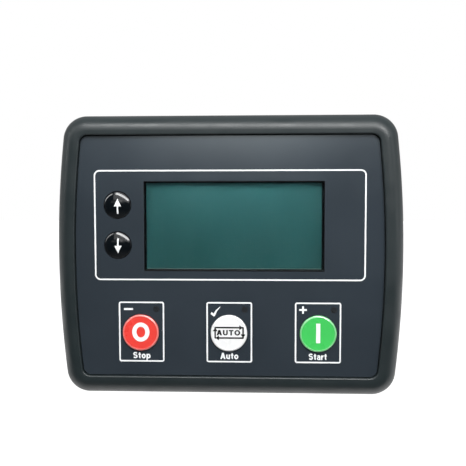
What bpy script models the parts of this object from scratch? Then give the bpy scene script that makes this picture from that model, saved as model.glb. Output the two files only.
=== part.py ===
"""Flush-mounted generator controller: moulded bezel, fascia, display, five sprung buttons,
two circuit boards and a stepped rear case with pluggable terminals.

Sizes are in metres. +X is to the right and +Z up, seen from the front, and the front faces -Y.
The origin is the centre of the panel cut-out, in the plane of the panel's front face.
"""

import math

import bmesh
import bpy
from mathutils import Vector

# Clearances
GAP = 0.0003
BUTTON_CLEARANCE = 0.00025
CUTOUT_CLEARANCE = 0.0005

# Layout of the front, from the edges of the panel cut-out inwards
LEFT_MARGIN = 0.0144
RIGHT_MARGIN = 0.021
TOP_MARGIN = 0.0159
WINDOW_TO_COMMANDS = 0.0253
BOTTOM_MARGIN = 0.0152

# Bezel
PANEL_LAP_X = 0.011
PANEL_LAP_Z = 0.0105
BEZEL_DEPTH = 0.010
BEZEL_SIDE_RADIUS = 0.421
BEZEL_CORNER_RADIUS = 0.0098
FRAME_WIDTH = 0.008
FRAME_INNER_ROLL = 0.0016
FRAME_SIDE_HEIGHT = 0.0024
FRAME_INNER_CORNER_RADIUS = 0.0034
FRAME_DROP = 0.0015
RIM_CHAMFER = 0.0004
RIM_WIDTH = 0.0026
PLATE_FILLET = 0.0013
PLATE_THICKNESS = 0.002
RIB_THICKNESS = 0.0014
RIB_PITCH = 0.018
RIB_OVERLAP = 0.0016
GASKET_THICKNESS = 0.002
SPIGOT_THICKNESS = 0.002
SPIGOT_LENGTH = 0.0095
JOIN_OVERLAP = 0.0005

# Fascia
OVERLAY_RECESS = 0.0017
OVERLAY_THICKNESS = 0.0004

# Display
WINDOW_WIDTH = 0.072
WINDOW_HEIGHT = 0.0356
PANE_THICKNESS = 0.001
PANE_BORDER = 0.002
LCD_BORDER = 0.0011
LCD_FRAME_MARGIN = 0.0033
LCD_FRAME_WALL = 0.001
LCD_GLASS_THICKNESS = 0.0022

# Buttons
COMMAND_RADIUS = 0.0074
COMMAND_PROUD = 0.001
COMMAND_PITCH = 0.03565
COMMAND_RIM_WIDTH = 0.0008
COMMAND_DISH = 0.00025
NAV_RADIUS = 0.0055
NAV_DOME = 0.0016
NAV_SPACING = 0.0009
NAV_PITCH = 0.01615
NAV_RAISE = 0.0003
CAP_EDGE_RADIUS = 0.0004
CAP_WALL = 0.0012
FLANGE_WIDTH = 0.0009
FLANGE_THICKNESS = 0.001
STEM_RADIUS = 0.0018
BUTTON_TRAVEL = 0.0005
SWITCH_SIDE = 0.006
SWITCH_HEIGHT = 0.0035
SWITCH_FLOOR = 0.0009
PLUNGER_RADIUS = 0.0017
PLUNGER_PROUD = 0.0014

# Status lights
LIGHT_SPACING = 0.00125
LIGHT_ANGLE = math.radians(56.5)
LIGHT_RADIUS = 0.0013
LIGHT_COLLAR = 0.0006
LED_HEIGHT = 0.0016
LED_RADIUS = 0.0015
LED_TOP_RADIUS = 0.0012

# Boards
BOARD_THICKNESS = 0.0016
DISPLAY_BOARD_DEPTH = 0.0102
POST_RADIUS = 0.0026
BOARD_SCREW_RADIUS = 0.00125
BOARD_SCREW_HEAD_RADIUS = 0.0022
BOARD_SCREW_HEAD_HEIGHT = 0.0015
BOARD_SCREW_LENGTH = 0.0065
POST_TO_BOSS = 0.0009
POST_TO_BOARD_EDGE = 0.0005
RELAY_LENGTH = 0.020
RELAY_WIDTH = 0.010
RELAY_HEIGHT = 0.0108
RELAY_HEADROOM = 0.0027
RELAY_PITCH = 0.0355
RELAY_FROM_EDGE = 0.0052
CAPACITOR_RADIUS = 0.004
CAPACITOR_HEIGHT = 0.0105
PROCESSOR_SIDE = 0.012
PROCESSOR_HEIGHT = 0.0014
LINK_WIDTH = 0.0254
LINK_HEIGHT = 0.005
LINK_Z = -0.008

# Rear case
CASE_WALL = 0.002
CASE_CORNER_RADIUS = 0.003
CASE_EDGE_RADIUS = 0.0014
STEP_HEIGHT = 0.0105
CASE_SCREW_MARGIN = 0.001
CASE_SCREW_RADIUS = 0.0015
CASE_SCREW_HEAD_RADIUS = 0.0028
CASE_SCREW_HEAD_HEIGHT = 0.0018
CASE_SCREW_LENGTH = 0.016
BOSS_RADIUS = 0.0032
BOSS_ENGAGEMENT = 0.0085
CLIP_SLOT_LENGTH = 0.006
CLIP_SLOT_WIDTH = 0.0018
CLIP_SLOT_PITCH = 0.0038
CLIP_SLOT_Z = 0.0215
CLIP_SLOT_DEPTH = 0.0075
CLIP_SLOT_OVERRUN = 0.0002
BACK_RECESS_WIDTH = 0.076
BACK_RECESS_HEIGHT = 0.042
BACK_RECESS_X = -0.010
BACK_RECESS_DEPTH = 0.0004

# Pluggable terminals: name, number of ways, pitch, centre along the row, side of the case
TERMINALS = (
    ("battery_terminals", 9, 0.00508, -0.0225, -1),
    ("output_terminals", 8, 0.00508, 0.0242, -1),
    ("sensor_terminals", 7, 0.00508, -0.0262, 1),
    ("generator_terminals", 4, 0.00762, 0.0115, 1),
)
SOCKET_WALL = 0.0008
SOCKET_LENGTH = 0.012
SOCKET_HEIGHT = 0.0086
SOCKET_FLOOR = 0.0025
SOCKET_HEADROOM = 0.0008
PIN_SIDE = 0.001
PIN_LENGTH = 0.006
NOSE_CLEARANCE = 0.0015
PLUG_CHANNEL = 0.0026
PLUG_CHANNEL_DEPTH = 0.0067
PLUG_SLOPE = 0.0026
WIRE_ENTRY_WIDTH = 0.0032
WIRE_ENTRY_HEIGHT = 0.0034
WIRE_ENTRY_DEPTH = 0.004
CLAMP_HOLE_RADIUS = 0.0017
CLAMP_HOLE_DEPTH = 0.0011
WAY_GROOVE = 0.0006

# Service socket
USB_WIDTH = 0.012
USB_HEIGHT = 0.011
USB_X = 0.038
USB_FROM_TOWER = 0.011
USB_MOUTH_WIDTH = 0.0085
USB_MOUTH_HEIGHT = 0.0078
USB_MOUTH_CHAMFER = 0.0016
USB_MOUTH_DEPTH = 0.009
USB_TONGUE_WIDTH = 0.0056
USB_TONGUE_HEIGHT = 0.003

# Number of straight pieces in each curve
SIDE_SEGMENTS = 8
INNER_ROLL_SEGMENTS = 3
CAP_EDGE_SEGMENTS = 2
DOME_SEGMENTS = 4
CASE_EDGE_SEGMENTS = 3
CORNER_SEGMENTS = 5
SMALL_CORNER_SEGMENTS = 3
ROLL_SEGMENTS = 7
CAP_SEGMENTS = 28
SCREW_SEGMENTS = 12
PIN_SEGMENTS = 12
HOLE_SEGMENTS = 8

# Planes across the depth, from the front to the back
OVERLAY_FRONT_Y = OVERLAY_RECESS - BEZEL_DEPTH
OVERLAY_BACK_Y = OVERLAY_FRONT_Y + OVERLAY_THICKNESS
PLATE_FRONT_Y = OVERLAY_BACK_Y + GAP
PLATE_BACK_Y = PLATE_FRONT_Y + PLATE_THICKNESS
PANE_BACK_Y = PLATE_BACK_Y
PANE_FRONT_Y = PANE_BACK_Y - PANE_THICKNESS
LCD_FRAME_FRONT_Y = PLATE_BACK_Y + GAP
LCD_GLASS_FRONT_Y = LCD_FRAME_FRONT_Y + LCD_FRAME_WALL + GAP
LCD_GLASS_BACK_Y = LCD_GLASS_FRONT_Y + LCD_GLASS_THICKNESS
FLANGE_FRONT_Y = PLATE_BACK_Y + GAP
FLANGE_BACK_Y = FLANGE_FRONT_Y + FLANGE_THICKNESS
DISPLAY_BOARD_FRONT_Y = PLATE_BACK_Y + DISPLAY_BOARD_DEPTH
DISPLAY_BOARD_BACK_Y = DISPLAY_BOARD_FRONT_Y + BOARD_THICKNESS
SWITCH_BACK_Y = DISPLAY_BOARD_FRONT_Y - GAP
SWITCH_FRONT_Y = SWITCH_BACK_Y - SWITCH_HEIGHT
PLUNGER_FRONT_Y = SWITCH_FRONT_Y - PLUNGER_PROUD
PLUNGER_BACK_Y = SWITCH_BACK_Y - SWITCH_FLOOR - BUTTON_TRAVEL - GAP
LED_FRONT_Y = DISPLAY_BOARD_FRONT_Y - GAP - LED_HEIGHT
MAIN_BOARD_FRONT_Y = DISPLAY_BOARD_BACK_Y + RELAY_HEADROOM + RELAY_HEIGHT
MAIN_BOARD_BACK_Y = MAIN_BOARD_FRONT_Y + BOARD_THICKNESS
SHELF_Y = MAIN_BOARD_BACK_Y - GAP
SOCKET_FRONT_Y = MAIN_BOARD_BACK_Y + GAP
SOCKET_BACK_Y = SOCKET_FRONT_Y + SOCKET_HEIGHT
CASE_DEPTH = SOCKET_BACK_Y + SOCKET_HEADROOM + CASE_WALL
BOSS_END_Y = SHELF_Y - BOSS_ENGAGEMENT
RIB_BACK_Y = -GASKET_THICKNESS - GAP

# Half sizes and places across the front
FRAME_CREST_INSET = FRAME_WIDTH - FRAME_INNER_ROLL
PLUG_NOSE = SOCKET_LENGTH - SOCKET_FLOOR - NOSE_CLEARANCE
NAV_TO_WINDOW = NAV_RADIUS + FLANGE_WIDTH + NAV_SPACING + LCD_FRAME_MARGIN
CUTOUT_WIDTH = LEFT_MARGIN + NAV_TO_WINDOW + WINDOW_WIDTH + RIGHT_MARGIN
CUTOUT_HEIGHT = TOP_MARGIN + WINDOW_HEIGHT + WINDOW_TO_COMMANDS + BOTTOM_MARGIN
BEZEL_WIDTH = CUTOUT_WIDTH + 2 * PANEL_LAP_X
BEZEL_HEIGHT = CUTOUT_HEIGHT + 2 * PANEL_LAP_Z
WINDOW_X = CUTOUT_WIDTH / 2 - RIGHT_MARGIN - WINDOW_WIDTH / 2
WINDOW_Z = CUTOUT_HEIGHT / 2 - TOP_MARGIN - WINDOW_HEIGHT / 2
COMMAND_Z = BOTTOM_MARGIN - CUTOUT_HEIGHT / 2
CASE_HALF_WIDTH = CUTOUT_WIDTH / 2 - CUTOUT_CLEARANCE
CASE_HALF_HEIGHT = CUTOUT_HEIGHT / 2 - CUTOUT_CLEARANCE
TOWER_HALF_HEIGHT = CASE_HALF_HEIGHT - STEP_HEIGHT
SPIGOT_HALF_WIDTH = CASE_HALF_WIDTH - CASE_WALL - GAP
SPIGOT_HALF_HEIGHT = CASE_HALF_HEIGHT - CASE_WALL - GAP
BOARD_HALF_WIDTH = SPIGOT_HALF_WIDTH - SPIGOT_THICKNESS - GAP
BOARD_HALF_HEIGHT = SPIGOT_HALF_HEIGHT - SPIGOT_THICKNESS - GAP
CASE_SCREW_X = SPIGOT_HALF_WIDTH - BOSS_RADIUS - CASE_SCREW_MARGIN
CASE_SCREW_Z = SPIGOT_HALF_HEIGHT - BOSS_RADIUS - CASE_SCREW_MARGIN
UPPER_POST_X = CASE_SCREW_X - 2 * BOSS_RADIUS - POST_TO_BOSS - POST_RADIUS
UPPER_POST_Z = BOARD_HALF_HEIGHT - POST_RADIUS - POST_TO_BOARD_EDGE
NAV_X = LEFT_MARGIN - CUTOUT_WIDTH / 2
NAV_Z = WINDOW_Z + NAV_RAISE
RELAY_Z = RELAY_FROM_EDGE + RELAY_WIDTH / 2 - TOWER_HALF_HEIGHT + CASE_WALL
USB_Z = TOWER_HALF_HEIGHT - USB_FROM_TOWER
LIGHT_REACH = COMMAND_RADIUS + FLANGE_WIDTH + LIGHT_SPACING + LIGHT_COLLAR + LIGHT_RADIUS
COMMAND_NAMES = ("stop", "auto", "start")
COMMAND_PLACES = {
    name: (COMMAND_PITCH * (index - 1), COMMAND_Z) for index, name in enumerate(COMMAND_NAMES)
}
NAV_PLACES = {"up": (NAV_X, NAV_Z + NAV_PITCH / 2), "down": (NAV_X, NAV_Z - NAV_PITCH / 2)}
LIGHT_PLACES = {
    name: (x + LIGHT_REACH * math.cos(LIGHT_ANGLE), z + LIGHT_REACH * math.sin(LIGHT_ANGLE))
    for name, (x, z) in COMMAND_PLACES.items()
}
CASE_SCREW_PLACES = [(sx * CASE_SCREW_X, sz * CASE_SCREW_Z) for sz in (1, -1) for sx in (-1, 1)]
BOARD_SCREW_PLACES = [
    (-UPPER_POST_X, UPPER_POST_Z),
    (UPPER_POST_X, UPPER_POST_Z),
    (-COMMAND_PITCH / 2, COMMAND_Z),
    (COMMAND_PITCH / 2, COMMAND_Z),
]


def clear_scene():
    for obj in list(bpy.data.objects):
        bpy.data.objects.remove(obj, do_unlink=True)


def make_material(name, color, roughness, metallic=0.0, alpha=1.0):
    material = bpy.data.materials.new(name)
    material.use_nodes = True
    shader = material.node_tree.nodes["Principled BSDF"]
    shader.inputs["Base Color"].default_value = (*color, 1.0)
    shader.inputs["Roughness"].default_value = roughness
    shader.inputs["Metallic"].default_value = metallic
    shader.inputs["Alpha"].default_value = alpha
    material.diffuse_color = (*color, alpha)
    return material


def make_object(name, bm, material=None):
    """Turns a bmesh of closed bodies into a scene object with its faces pointing out."""
    bmesh.ops.recalc_face_normals(bm, faces=bm.faces)
    mesh = bpy.data.meshes.new(name)
    bm.to_mesh(mesh)
    bm.free()
    mesh.shade_smooth()
    mesh.set_sharp_from_angle(angle=math.radians(35))
    obj = bpy.data.objects.new(name, mesh)
    bpy.context.collection.objects.link(obj)
    if material:
        mesh.materials.append(material)
    return obj


def make_helper(name, bm):
    """A body that only cuts or joins another one, so it is kept out of the render."""
    obj = make_object(name, bm)
    obj.hide_render = True
    obj.display_type = "WIRE"
    return obj


def boolean(target, operation, helper):
    modifier = target.modifiers.new(helper.name, "BOOLEAN")
    modifier.operation = operation
    modifier.solver = "EXACT"
    modifier.object = helper


def circle(x, z, radius, segments):
    return [
        (x + radius * math.cos(math.tau * i / segments), z + radius * math.sin(math.tau * i / segments))
        for i in range(segments)
    ]


def rectangle(x0, x1, z0, z1):
    return [(x0, z0), (x1, z0), (x1, z1), (x0, z1)]


def centred_rectangle(x, z, width, height):
    return rectangle(x - width / 2, x + width / 2, z - height / 2, z + height / 2)


def rounded_rectangle(half_width, half_height, radius, segments=SMALL_CORNER_SEGMENTS):
    points = []
    for corner, (sx, sz) in enumerate(((1, 1), (-1, 1), (-1, -1), (1, -1))):
        for i in range(segments + 1):
            angle = math.pi / 2 * (corner + i / segments)
            x = sx * (half_width - radius) + radius * math.cos(angle)
            z = sz * (half_height - radius) + radius * math.sin(angle)
            points.append((x, z))
    return points


def side_reach(z, inset):
    """How far the bowed side of the bezel lies from the middle at height z."""
    radius = BEZEL_SIDE_RADIUS - inset
    return BEZEL_WIDTH / 2 - BEZEL_SIDE_RADIUS + math.sqrt(radius**2 - z**2)


def bowed_outline(inset, corner_radius):
    """The bezel's outline moved in by inset: bowed sides, straight top and bottom, round corners."""
    centre_x = BEZEL_WIDTH / 2 - BEZEL_SIDE_RADIUS
    side_radius = BEZEL_SIDE_RADIUS - inset
    top = BEZEL_HEIGHT / 2 - inset
    fillet_z = top - corner_radius
    fillet_x = centre_x + math.sqrt((side_radius - corner_radius) ** 2 - fillet_z**2)
    start = math.atan2(fillet_z, fillet_x - centre_x)
    quarter = []
    for i in range(SIDE_SEGMENTS // 2):
        angle = start * i / (SIDE_SEGMENTS // 2)
        quarter.append((centre_x + side_radius * math.cos(angle), side_radius * math.sin(angle)))
    for i in range(CORNER_SEGMENTS + 1):
        angle = start + (math.pi / 2 - start) * i / CORNER_SEGMENTS
        x = fillet_x + corner_radius * math.cos(angle)
        quarter.append((x, fillet_z + corner_radius * math.sin(angle)))
    left = [(-x, z) for x, z in reversed(quarter)]
    lower = [(x, -z) for x, z in reversed((quarter + left)[1:-1])]
    return quarter + left + lower


def corner_radius_at(inset):
    share = min(inset / FRAME_WIDTH, 1)
    return BEZEL_CORNER_RADIUS + (FRAME_INNER_CORNER_RADIUS - BEZEL_CORNER_RADIUS) * share


def add_loft(bm, loops, closed=False):
    """Skins loops of equal length, and caps both ends unless the last one joins the first."""
    rings = [[bm.verts.new(point) for point in loop] for loop in loops]
    pairs = list(zip(rings, rings[1:]))
    if closed:
        pairs.append((rings[-1], rings[0]))
    else:
        bm.faces.new(rings[0])
        bm.faces.new(rings[-1])
    for first, second in pairs:
        for i, vert in enumerate(first):
            j = (i + 1) % len(first)
            bm.faces.new((vert, first[j], second[j], second[i]))


def at_depth(outline, y):
    return [Vector((x, y, z)) for x, z in outline]


def add_prism(bm, outline, y0, y1):
    add_loft(bm, [at_depth(outline, y0), at_depth(outline, y1)])


def add_box(bm, x0, x1, y0, y1, z0, z1):
    add_prism(bm, rectangle(x0, x1, z0, z1), y0, y1)


def add_turned(bm, x, z, profile, segments):
    """A body turned about an axis along Y. The profile is (radius, y), and its ends lie on the axis."""
    inner = [at_depth(circle(x, z, radius, segments), y) for radius, y in profile[1:-1]]
    rings = [[bm.verts.new(point) for point in ring] for ring in inner]
    ends = [bm.verts.new((x, y, z)) for _, y in (profile[0], profile[-1])]
    for i in range(segments):
        j = (i + 1) % segments
        bm.faces.new((ends[0], rings[0][i], rings[0][j]))
        bm.faces.new((ends[1], rings[-1][j], rings[-1][i]))
        for first, second in zip(rings, rings[1:]):
            bm.faces.new((first[i], first[j], second[j], second[i]))


def prism_object(name, outline, y0, y1, material):
    bm = bmesh.new()
    add_prism(bm, outline, y0, y1)
    return make_object(name, bm, material)


def turned_object(name, x, z, profile, segments, material):
    bm = bmesh.new()
    add_turned(bm, x, z, profile, segments)
    return make_object(name, bm, material)


def frame_profile():
    """(inset, y) across the bezel, from the plate's front over the rolled frame to the plate's back."""
    profile = [(FRAME_WIDTH, PLATE_FRONT_Y)]
    for i in range(INNER_ROLL_SEGMENTS + 1):
        angle = math.pi / 2 * i / INNER_ROLL_SEGMENTS
        inset = FRAME_CREST_INSET + FRAME_INNER_ROLL * math.cos(angle)
        profile.append((inset, -BEZEL_DEPTH + FRAME_DROP * (1 - math.sin(angle))))
    rise = BEZEL_DEPTH - FRAME_SIDE_HEIGHT
    for i in range(1, ROLL_SEGMENTS + 1):
        angle = math.pi / 2 * (1 - i / ROLL_SEGMENTS)
        inset = FRAME_CREST_INSET * (1 - math.cos(angle))
        profile.append((inset, -FRAME_SIDE_HEIGHT - rise * math.sin(angle)))
    profile += [(0, -RIM_CHAMFER), (RIM_CHAMFER, 0), (RIM_WIDTH, 0)]
    profile += [(RIM_WIDTH, PLATE_BACK_Y + PLATE_FILLET), (RIM_WIDTH + PLATE_FILLET, PLATE_BACK_Y)]
    return profile


def build_bezel(material):
    bm = bmesh.new()
    add_loft(bm, [at_depth(bowed_outline(d, corner_radius_at(d)), y) for d, y in frame_profile()])
    bezel = make_object("front_bezel", bm, material)
    start_y = PLATE_BACK_Y - JOIN_OVERLAP

    bm = bmesh.new()
    outer = rounded_rectangle(SPIGOT_HALF_WIDTH, SPIGOT_HALF_HEIGHT, CASE_CORNER_RADIUS / 2)
    half_width, half_height = SPIGOT_HALF_WIDTH - SPIGOT_THICKNESS, SPIGOT_HALF_HEIGHT - SPIGOT_THICKNESS
    inner = rounded_rectangle(half_width, half_height, CASE_CORNER_RADIUS / 4)
    end_y = PLATE_BACK_Y + SPIGOT_LENGTH
    loops = [at_depth(outer, start_y), at_depth(outer, end_y)]
    loops += [at_depth(inner, end_y), at_depth(inner, start_y)]
    add_loft(bm, loops, closed=True)
    boolean(bezel, "UNION", make_helper("bezel_spigot", bm))

    bm = bmesh.new()
    for x, z in CASE_SCREW_PLACES:
        add_prism(bm, circle(x, z, BOSS_RADIUS, SCREW_SEGMENTS), start_y, BOSS_END_Y - GAP)
    for x, z in BOARD_SCREW_PLACES:
        add_prism(bm, circle(x, z, POST_RADIUS, PIN_SEGMENTS), start_y, DISPLAY_BOARD_FRONT_Y - GAP)
    boolean(bezel, "UNION", make_helper("bezel_bosses", bm))

    bm = bmesh.new()
    half = RIB_THICKNESS / 2
    for z in rib_places(CASE_HALF_HEIGHT):
        near, far = CASE_HALF_WIDTH + CUTOUT_CLEARANCE, side_reach(z, 0) - RIB_OVERLAP
        add_box(bm, near, far, start_y, RIB_BACK_Y, z - half, z + half)
        add_box(bm, -far, -near, start_y, RIB_BACK_Y, z - half, z + half)
    for x in rib_places(CASE_HALF_WIDTH):
        near, far = CASE_HALF_HEIGHT + CUTOUT_CLEARANCE, BEZEL_HEIGHT / 2 - RIB_OVERLAP
        add_box(bm, x - half, x + half, start_y, RIB_BACK_Y, near, far)
        add_box(bm, x - half, x + half, start_y, RIB_BACK_Y, -far, -near)
    boolean(bezel, "UNION", make_helper("bezel_ribs", bm))

    bm = bmesh.new()
    through = (PLATE_FRONT_Y - PLATE_THICKNESS, PLATE_BACK_Y + PLATE_THICKNESS)
    window = centred_rectangle(WINDOW_X, WINDOW_Z, WINDOW_WIDTH, WINDOW_HEIGHT)
    pane = pane_outline(GAP)
    rebate_y = PANE_FRONT_Y - GAP
    loops = [at_depth(window, through[0]), at_depth(window, rebate_y), at_depth(pane, rebate_y)]
    add_loft(bm, loops + [at_depth(pane, through[1])])
    add_button_openings(bm, *through)
    for x, z in LIGHT_PLACES.values():
        add_prism(bm, circle(x, z, LIGHT_RADIUS + GAP, PIN_SEGMENTS), *through)
    for x, z in CASE_SCREW_PLACES:
        outline = circle(x, z, CASE_SCREW_RADIUS + GAP, SCREW_SEGMENTS)
        add_prism(bm, outline, case_screw_end() - GAP, BOSS_END_Y + GAP)
    for x, z in BOARD_SCREW_PLACES:
        outline = circle(x, z, BOARD_SCREW_RADIUS + GAP, PIN_SEGMENTS)
        add_prism(bm, outline, board_screw_end() - GAP, DISPLAY_BOARD_FRONT_Y + GAP)
    boolean(bezel, "DIFFERENCE", make_helper("bezel_openings", bm))
    return bezel


def rib_places(half_length):
    """Where the ribs stand along one side of the case, whose straight part is shorter than the side."""
    count = int((half_length - CASE_CORNER_RADIUS) / RIB_PITCH)
    return [i * RIB_PITCH for i in range(-count, count + 1)]


def add_button_openings(bm, y0, y1):
    for x, z in COMMAND_PLACES.values():
        add_prism(bm, circle(x, z, COMMAND_RADIUS + BUTTON_CLEARANCE, CAP_SEGMENTS), y0, y1)
    for x, z in NAV_PLACES.values():
        add_prism(bm, circle(x, z, NAV_RADIUS + BUTTON_CLEARANCE, CAP_SEGMENTS), y0, y1)


def pane_outline(extra):
    width = WINDOW_WIDTH + 2 * (PANE_BORDER + extra)
    return centred_rectangle(WINDOW_X, WINDOW_Z, width, WINDOW_HEIGHT + 2 * (PANE_BORDER + extra))


def build_overlay(material):
    inset = FRAME_WIDTH + GAP
    outline = bowed_outline(inset, corner_radius_at(inset) - GAP)
    overlay = prism_object("fascia_overlay", outline, OVERLAY_FRONT_Y, OVERLAY_BACK_Y, material)
    bm = bmesh.new()
    through = (OVERLAY_FRONT_Y - OVERLAY_THICKNESS, OVERLAY_BACK_Y + OVERLAY_THICKNESS)
    add_prism(bm, centred_rectangle(WINDOW_X, WINDOW_Z, WINDOW_WIDTH, WINDOW_HEIGHT), *through)
    add_button_openings(bm, *through)
    boolean(overlay, "DIFFERENCE", make_helper("overlay_openings", bm))
    return overlay


def build_gasket(material):
    inset = RIM_WIDTH + GAP
    outline = bowed_outline(inset, corner_radius_at(inset))
    gasket = prism_object("panel_gasket", outline, -GASKET_THICKNESS, 0, material)
    bm = bmesh.new()
    opening = rounded_rectangle(
        CASE_HALF_WIDTH + CUTOUT_CLEARANCE, CASE_HALF_HEIGHT + CUTOUT_CLEARANCE, CASE_CORNER_RADIUS
    )
    add_prism(bm, opening, -2 * GASKET_THICKNESS, GASKET_THICKNESS)
    boolean(gasket, "DIFFERENCE", make_helper("gasket_opening", bm))
    return gasket


def lcd_rectangle(margin):
    """A rectangle round the display window, larger than it by margin on each side."""
    return centred_rectangle(WINDOW_X, WINDOW_Z, WINDOW_WIDTH + 2 * margin, WINDOW_HEIGHT + 2 * margin)


def build_display(pane_material, frame_material, glass_material, backlight_material):
    prism_object("display_window", pane_outline(0), PANE_FRONT_Y, PANE_BACK_Y, pane_material)
    bm = bmesh.new()
    outer = lcd_rectangle(LCD_FRAME_MARGIN)
    inner = lcd_rectangle(LCD_FRAME_MARGIN - LCD_FRAME_WALL)
    opening = lcd_rectangle(-LCD_BORDER)
    lip_y = LCD_FRAME_FRONT_Y + LCD_FRAME_WALL
    loops = [
        at_depth(outer, LCD_FRAME_FRONT_Y),
        at_depth(outer, SWITCH_BACK_Y),
        at_depth(inner, SWITCH_BACK_Y),
        at_depth(inner, lip_y),
        at_depth(opening, lip_y),
        at_depth(opening, LCD_FRAME_FRONT_Y),
    ]
    add_loft(bm, loops, closed=True)
    make_object("lcd_frame", bm, frame_material)
    glass = lcd_rectangle(LCD_FRAME_MARGIN - LCD_FRAME_WALL - GAP)
    prism_object("lcd_glass", glass, LCD_GLASS_FRONT_Y, LCD_GLASS_BACK_Y, glass_material)
    prism_object("backlight_panel", glass, LCD_GLASS_BACK_Y + GAP, SWITCH_BACK_Y, backlight_material)


def cap_back(radius, face_y):
    """The hidden part of a button's profile: skirt, retaining flange, hollow and stem."""
    roof_y = face_y + CAP_WALL + CAP_EDGE_RADIUS
    stem_y = PLUNGER_FRONT_Y - GAP
    inner = radius - CAP_WALL
    return [
        (radius, FLANGE_FRONT_Y),
        (radius + FLANGE_WIDTH, FLANGE_FRONT_Y),
        (radius + FLANGE_WIDTH, FLANGE_BACK_Y),
        (inner, FLANGE_BACK_Y),
        (inner, roof_y),
        (STEM_RADIUS, roof_y),
        (STEM_RADIUS, stem_y),
        (0, stem_y),
    ]


def command_profile():
    """A flat printed face, slightly sunk inside a small rounded rim."""
    top_y = OVERLAY_FRONT_Y - COMMAND_PROUD
    face_y = top_y + COMMAND_DISH
    rim = COMMAND_RADIUS - COMMAND_RIM_WIDTH
    front = [(0, face_y), (rim - CAP_EDGE_RADIUS, face_y), (rim, top_y)]
    edge = COMMAND_RADIUS - CAP_EDGE_RADIUS
    for i in range(CAP_EDGE_SEGMENTS + 1):
        angle = math.pi / 2 * i / CAP_EDGE_SEGMENTS
        y = top_y + CAP_EDGE_RADIUS * (1 - math.cos(angle))
        front.append((edge + CAP_EDGE_RADIUS * math.sin(angle), y))
    return front + cap_back(COMMAND_RADIUS, face_y)


def nav_profile():
    """A dome, as part of a sphere, that drops to the overlay with a short straight edge."""
    edge_y = OVERLAY_FRONT_Y
    sphere = (NAV_RADIUS**2 + NAV_DOME**2) / (2 * NAV_DOME)
    half_angle = math.asin(NAV_RADIUS / sphere)
    front = []
    for i in range(DOME_SEGMENTS + 1):
        angle = half_angle * i / DOME_SEGMENTS
        y = edge_y - NAV_DOME + sphere * (1 - math.cos(angle))
        front.append((sphere * math.sin(angle), y))
    return front + cap_back(NAV_RADIUS, edge_y)


def build_button(name, place, profile, cap_material, plunger_material, switch_material):
    """Cap, switch plunger and switch body, one behind the other on the axis of travel."""
    x, z = place
    turned_object(f"{name}_button", x, z, profile, CAP_SEGMENTS, cap_material)
    plunger = [
        (0, PLUNGER_FRONT_Y),
        (PLUNGER_RADIUS, PLUNGER_FRONT_Y),
        (PLUNGER_RADIUS, PLUNGER_BACK_Y),
        (0, PLUNGER_BACK_Y),
    ]
    turned_object(f"{name}_plunger", x, z, plunger, PIN_SEGMENTS, plunger_material)
    outline = centred_rectangle(x, z, SWITCH_SIDE, SWITCH_SIDE)
    switch = prism_object(f"{name}_switch", outline, SWITCH_FRONT_Y, SWITCH_BACK_Y, switch_material)
    bm = bmesh.new()
    hole = circle(x, z, PLUNGER_RADIUS + GAP, PIN_SEGMENTS)
    add_prism(bm, hole, SWITCH_FRONT_Y - GAP, SWITCH_BACK_Y - SWITCH_FLOOR)
    boolean(switch, "DIFFERENCE", make_helper(f"{name}_switch_hole", bm))


def build_status_light(name, place, pipe_material, led_material):
    """A clear light pipe held in the bezel plate, in front of its lamp on the board."""
    x, z = place
    collar_y = PLATE_BACK_Y + GAP
    collar = LIGHT_RADIUS + LIGHT_COLLAR
    pipe = [
        (0, PLATE_FRONT_Y),
        (LIGHT_RADIUS, PLATE_FRONT_Y),
        (LIGHT_RADIUS, collar_y),
        (collar, collar_y),
        (collar, collar_y + LIGHT_COLLAR),
        (LIGHT_RADIUS, collar_y + LIGHT_COLLAR),
        (LIGHT_RADIUS, LED_FRONT_Y - GAP),
        (0, LED_FRONT_Y - GAP),
    ]
    turned_object(f"{name}_light_pipe", x, z, pipe, PIN_SEGMENTS, pipe_material)
    back_y = DISPLAY_BOARD_FRONT_Y - GAP
    waist_y = LED_FRONT_Y + LED_HEIGHT / 2
    lamp = [(0, LED_FRONT_Y), (LED_TOP_RADIUS, LED_FRONT_Y), (LED_RADIUS, waist_y)]
    lamp += [(LED_RADIUS, back_y), (0, back_y)]
    turned_object(f"{name}_led", x, z, lamp, PIN_SEGMENTS, led_material)


def screw_profile(head_y, head_radius, head_height, shank_radius, end_y):
    """Pan-head screw whose head rests at head_y and whose point is at end_y, nearer the front."""
    edge = head_height / 3
    return [
        (0, head_y + head_height),
        (head_radius - edge, head_y + head_height),
        (head_radius, head_y + head_height - edge),
        (head_radius, head_y),
        (shank_radius, head_y),
        (shank_radius, end_y + shank_radius),
        (0, end_y),
    ]


def case_screw_head():
    return SHELF_Y - CASE_SCREW_HEAD_HEIGHT - GAP


def case_screw_end():
    return case_screw_head() - CASE_SCREW_LENGTH


def board_screw_head():
    return DISPLAY_BOARD_BACK_Y + GAP


def board_screw_end():
    return board_screw_head() - BOARD_SCREW_LENGTH


def build_screws(material):
    head = (case_screw_head(), CASE_SCREW_HEAD_RADIUS, CASE_SCREW_HEAD_HEIGHT)
    profile = screw_profile(*head, CASE_SCREW_RADIUS, case_screw_end())
    for number, (x, z) in enumerate(CASE_SCREW_PLACES, 1):
        turned_object(f"case_screw_{number}", x, z, profile, SCREW_SEGMENTS, material)
    head = (board_screw_head(), BOARD_SCREW_HEAD_RADIUS, BOARD_SCREW_HEAD_HEIGHT)
    profile = screw_profile(*head, BOARD_SCREW_RADIUS, board_screw_end())
    for number, (x, z) in enumerate(BOARD_SCREW_PLACES, 1):
        turned_object(f"board_screw_{number}", x, z, profile, PIN_SEGMENTS, material)


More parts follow.
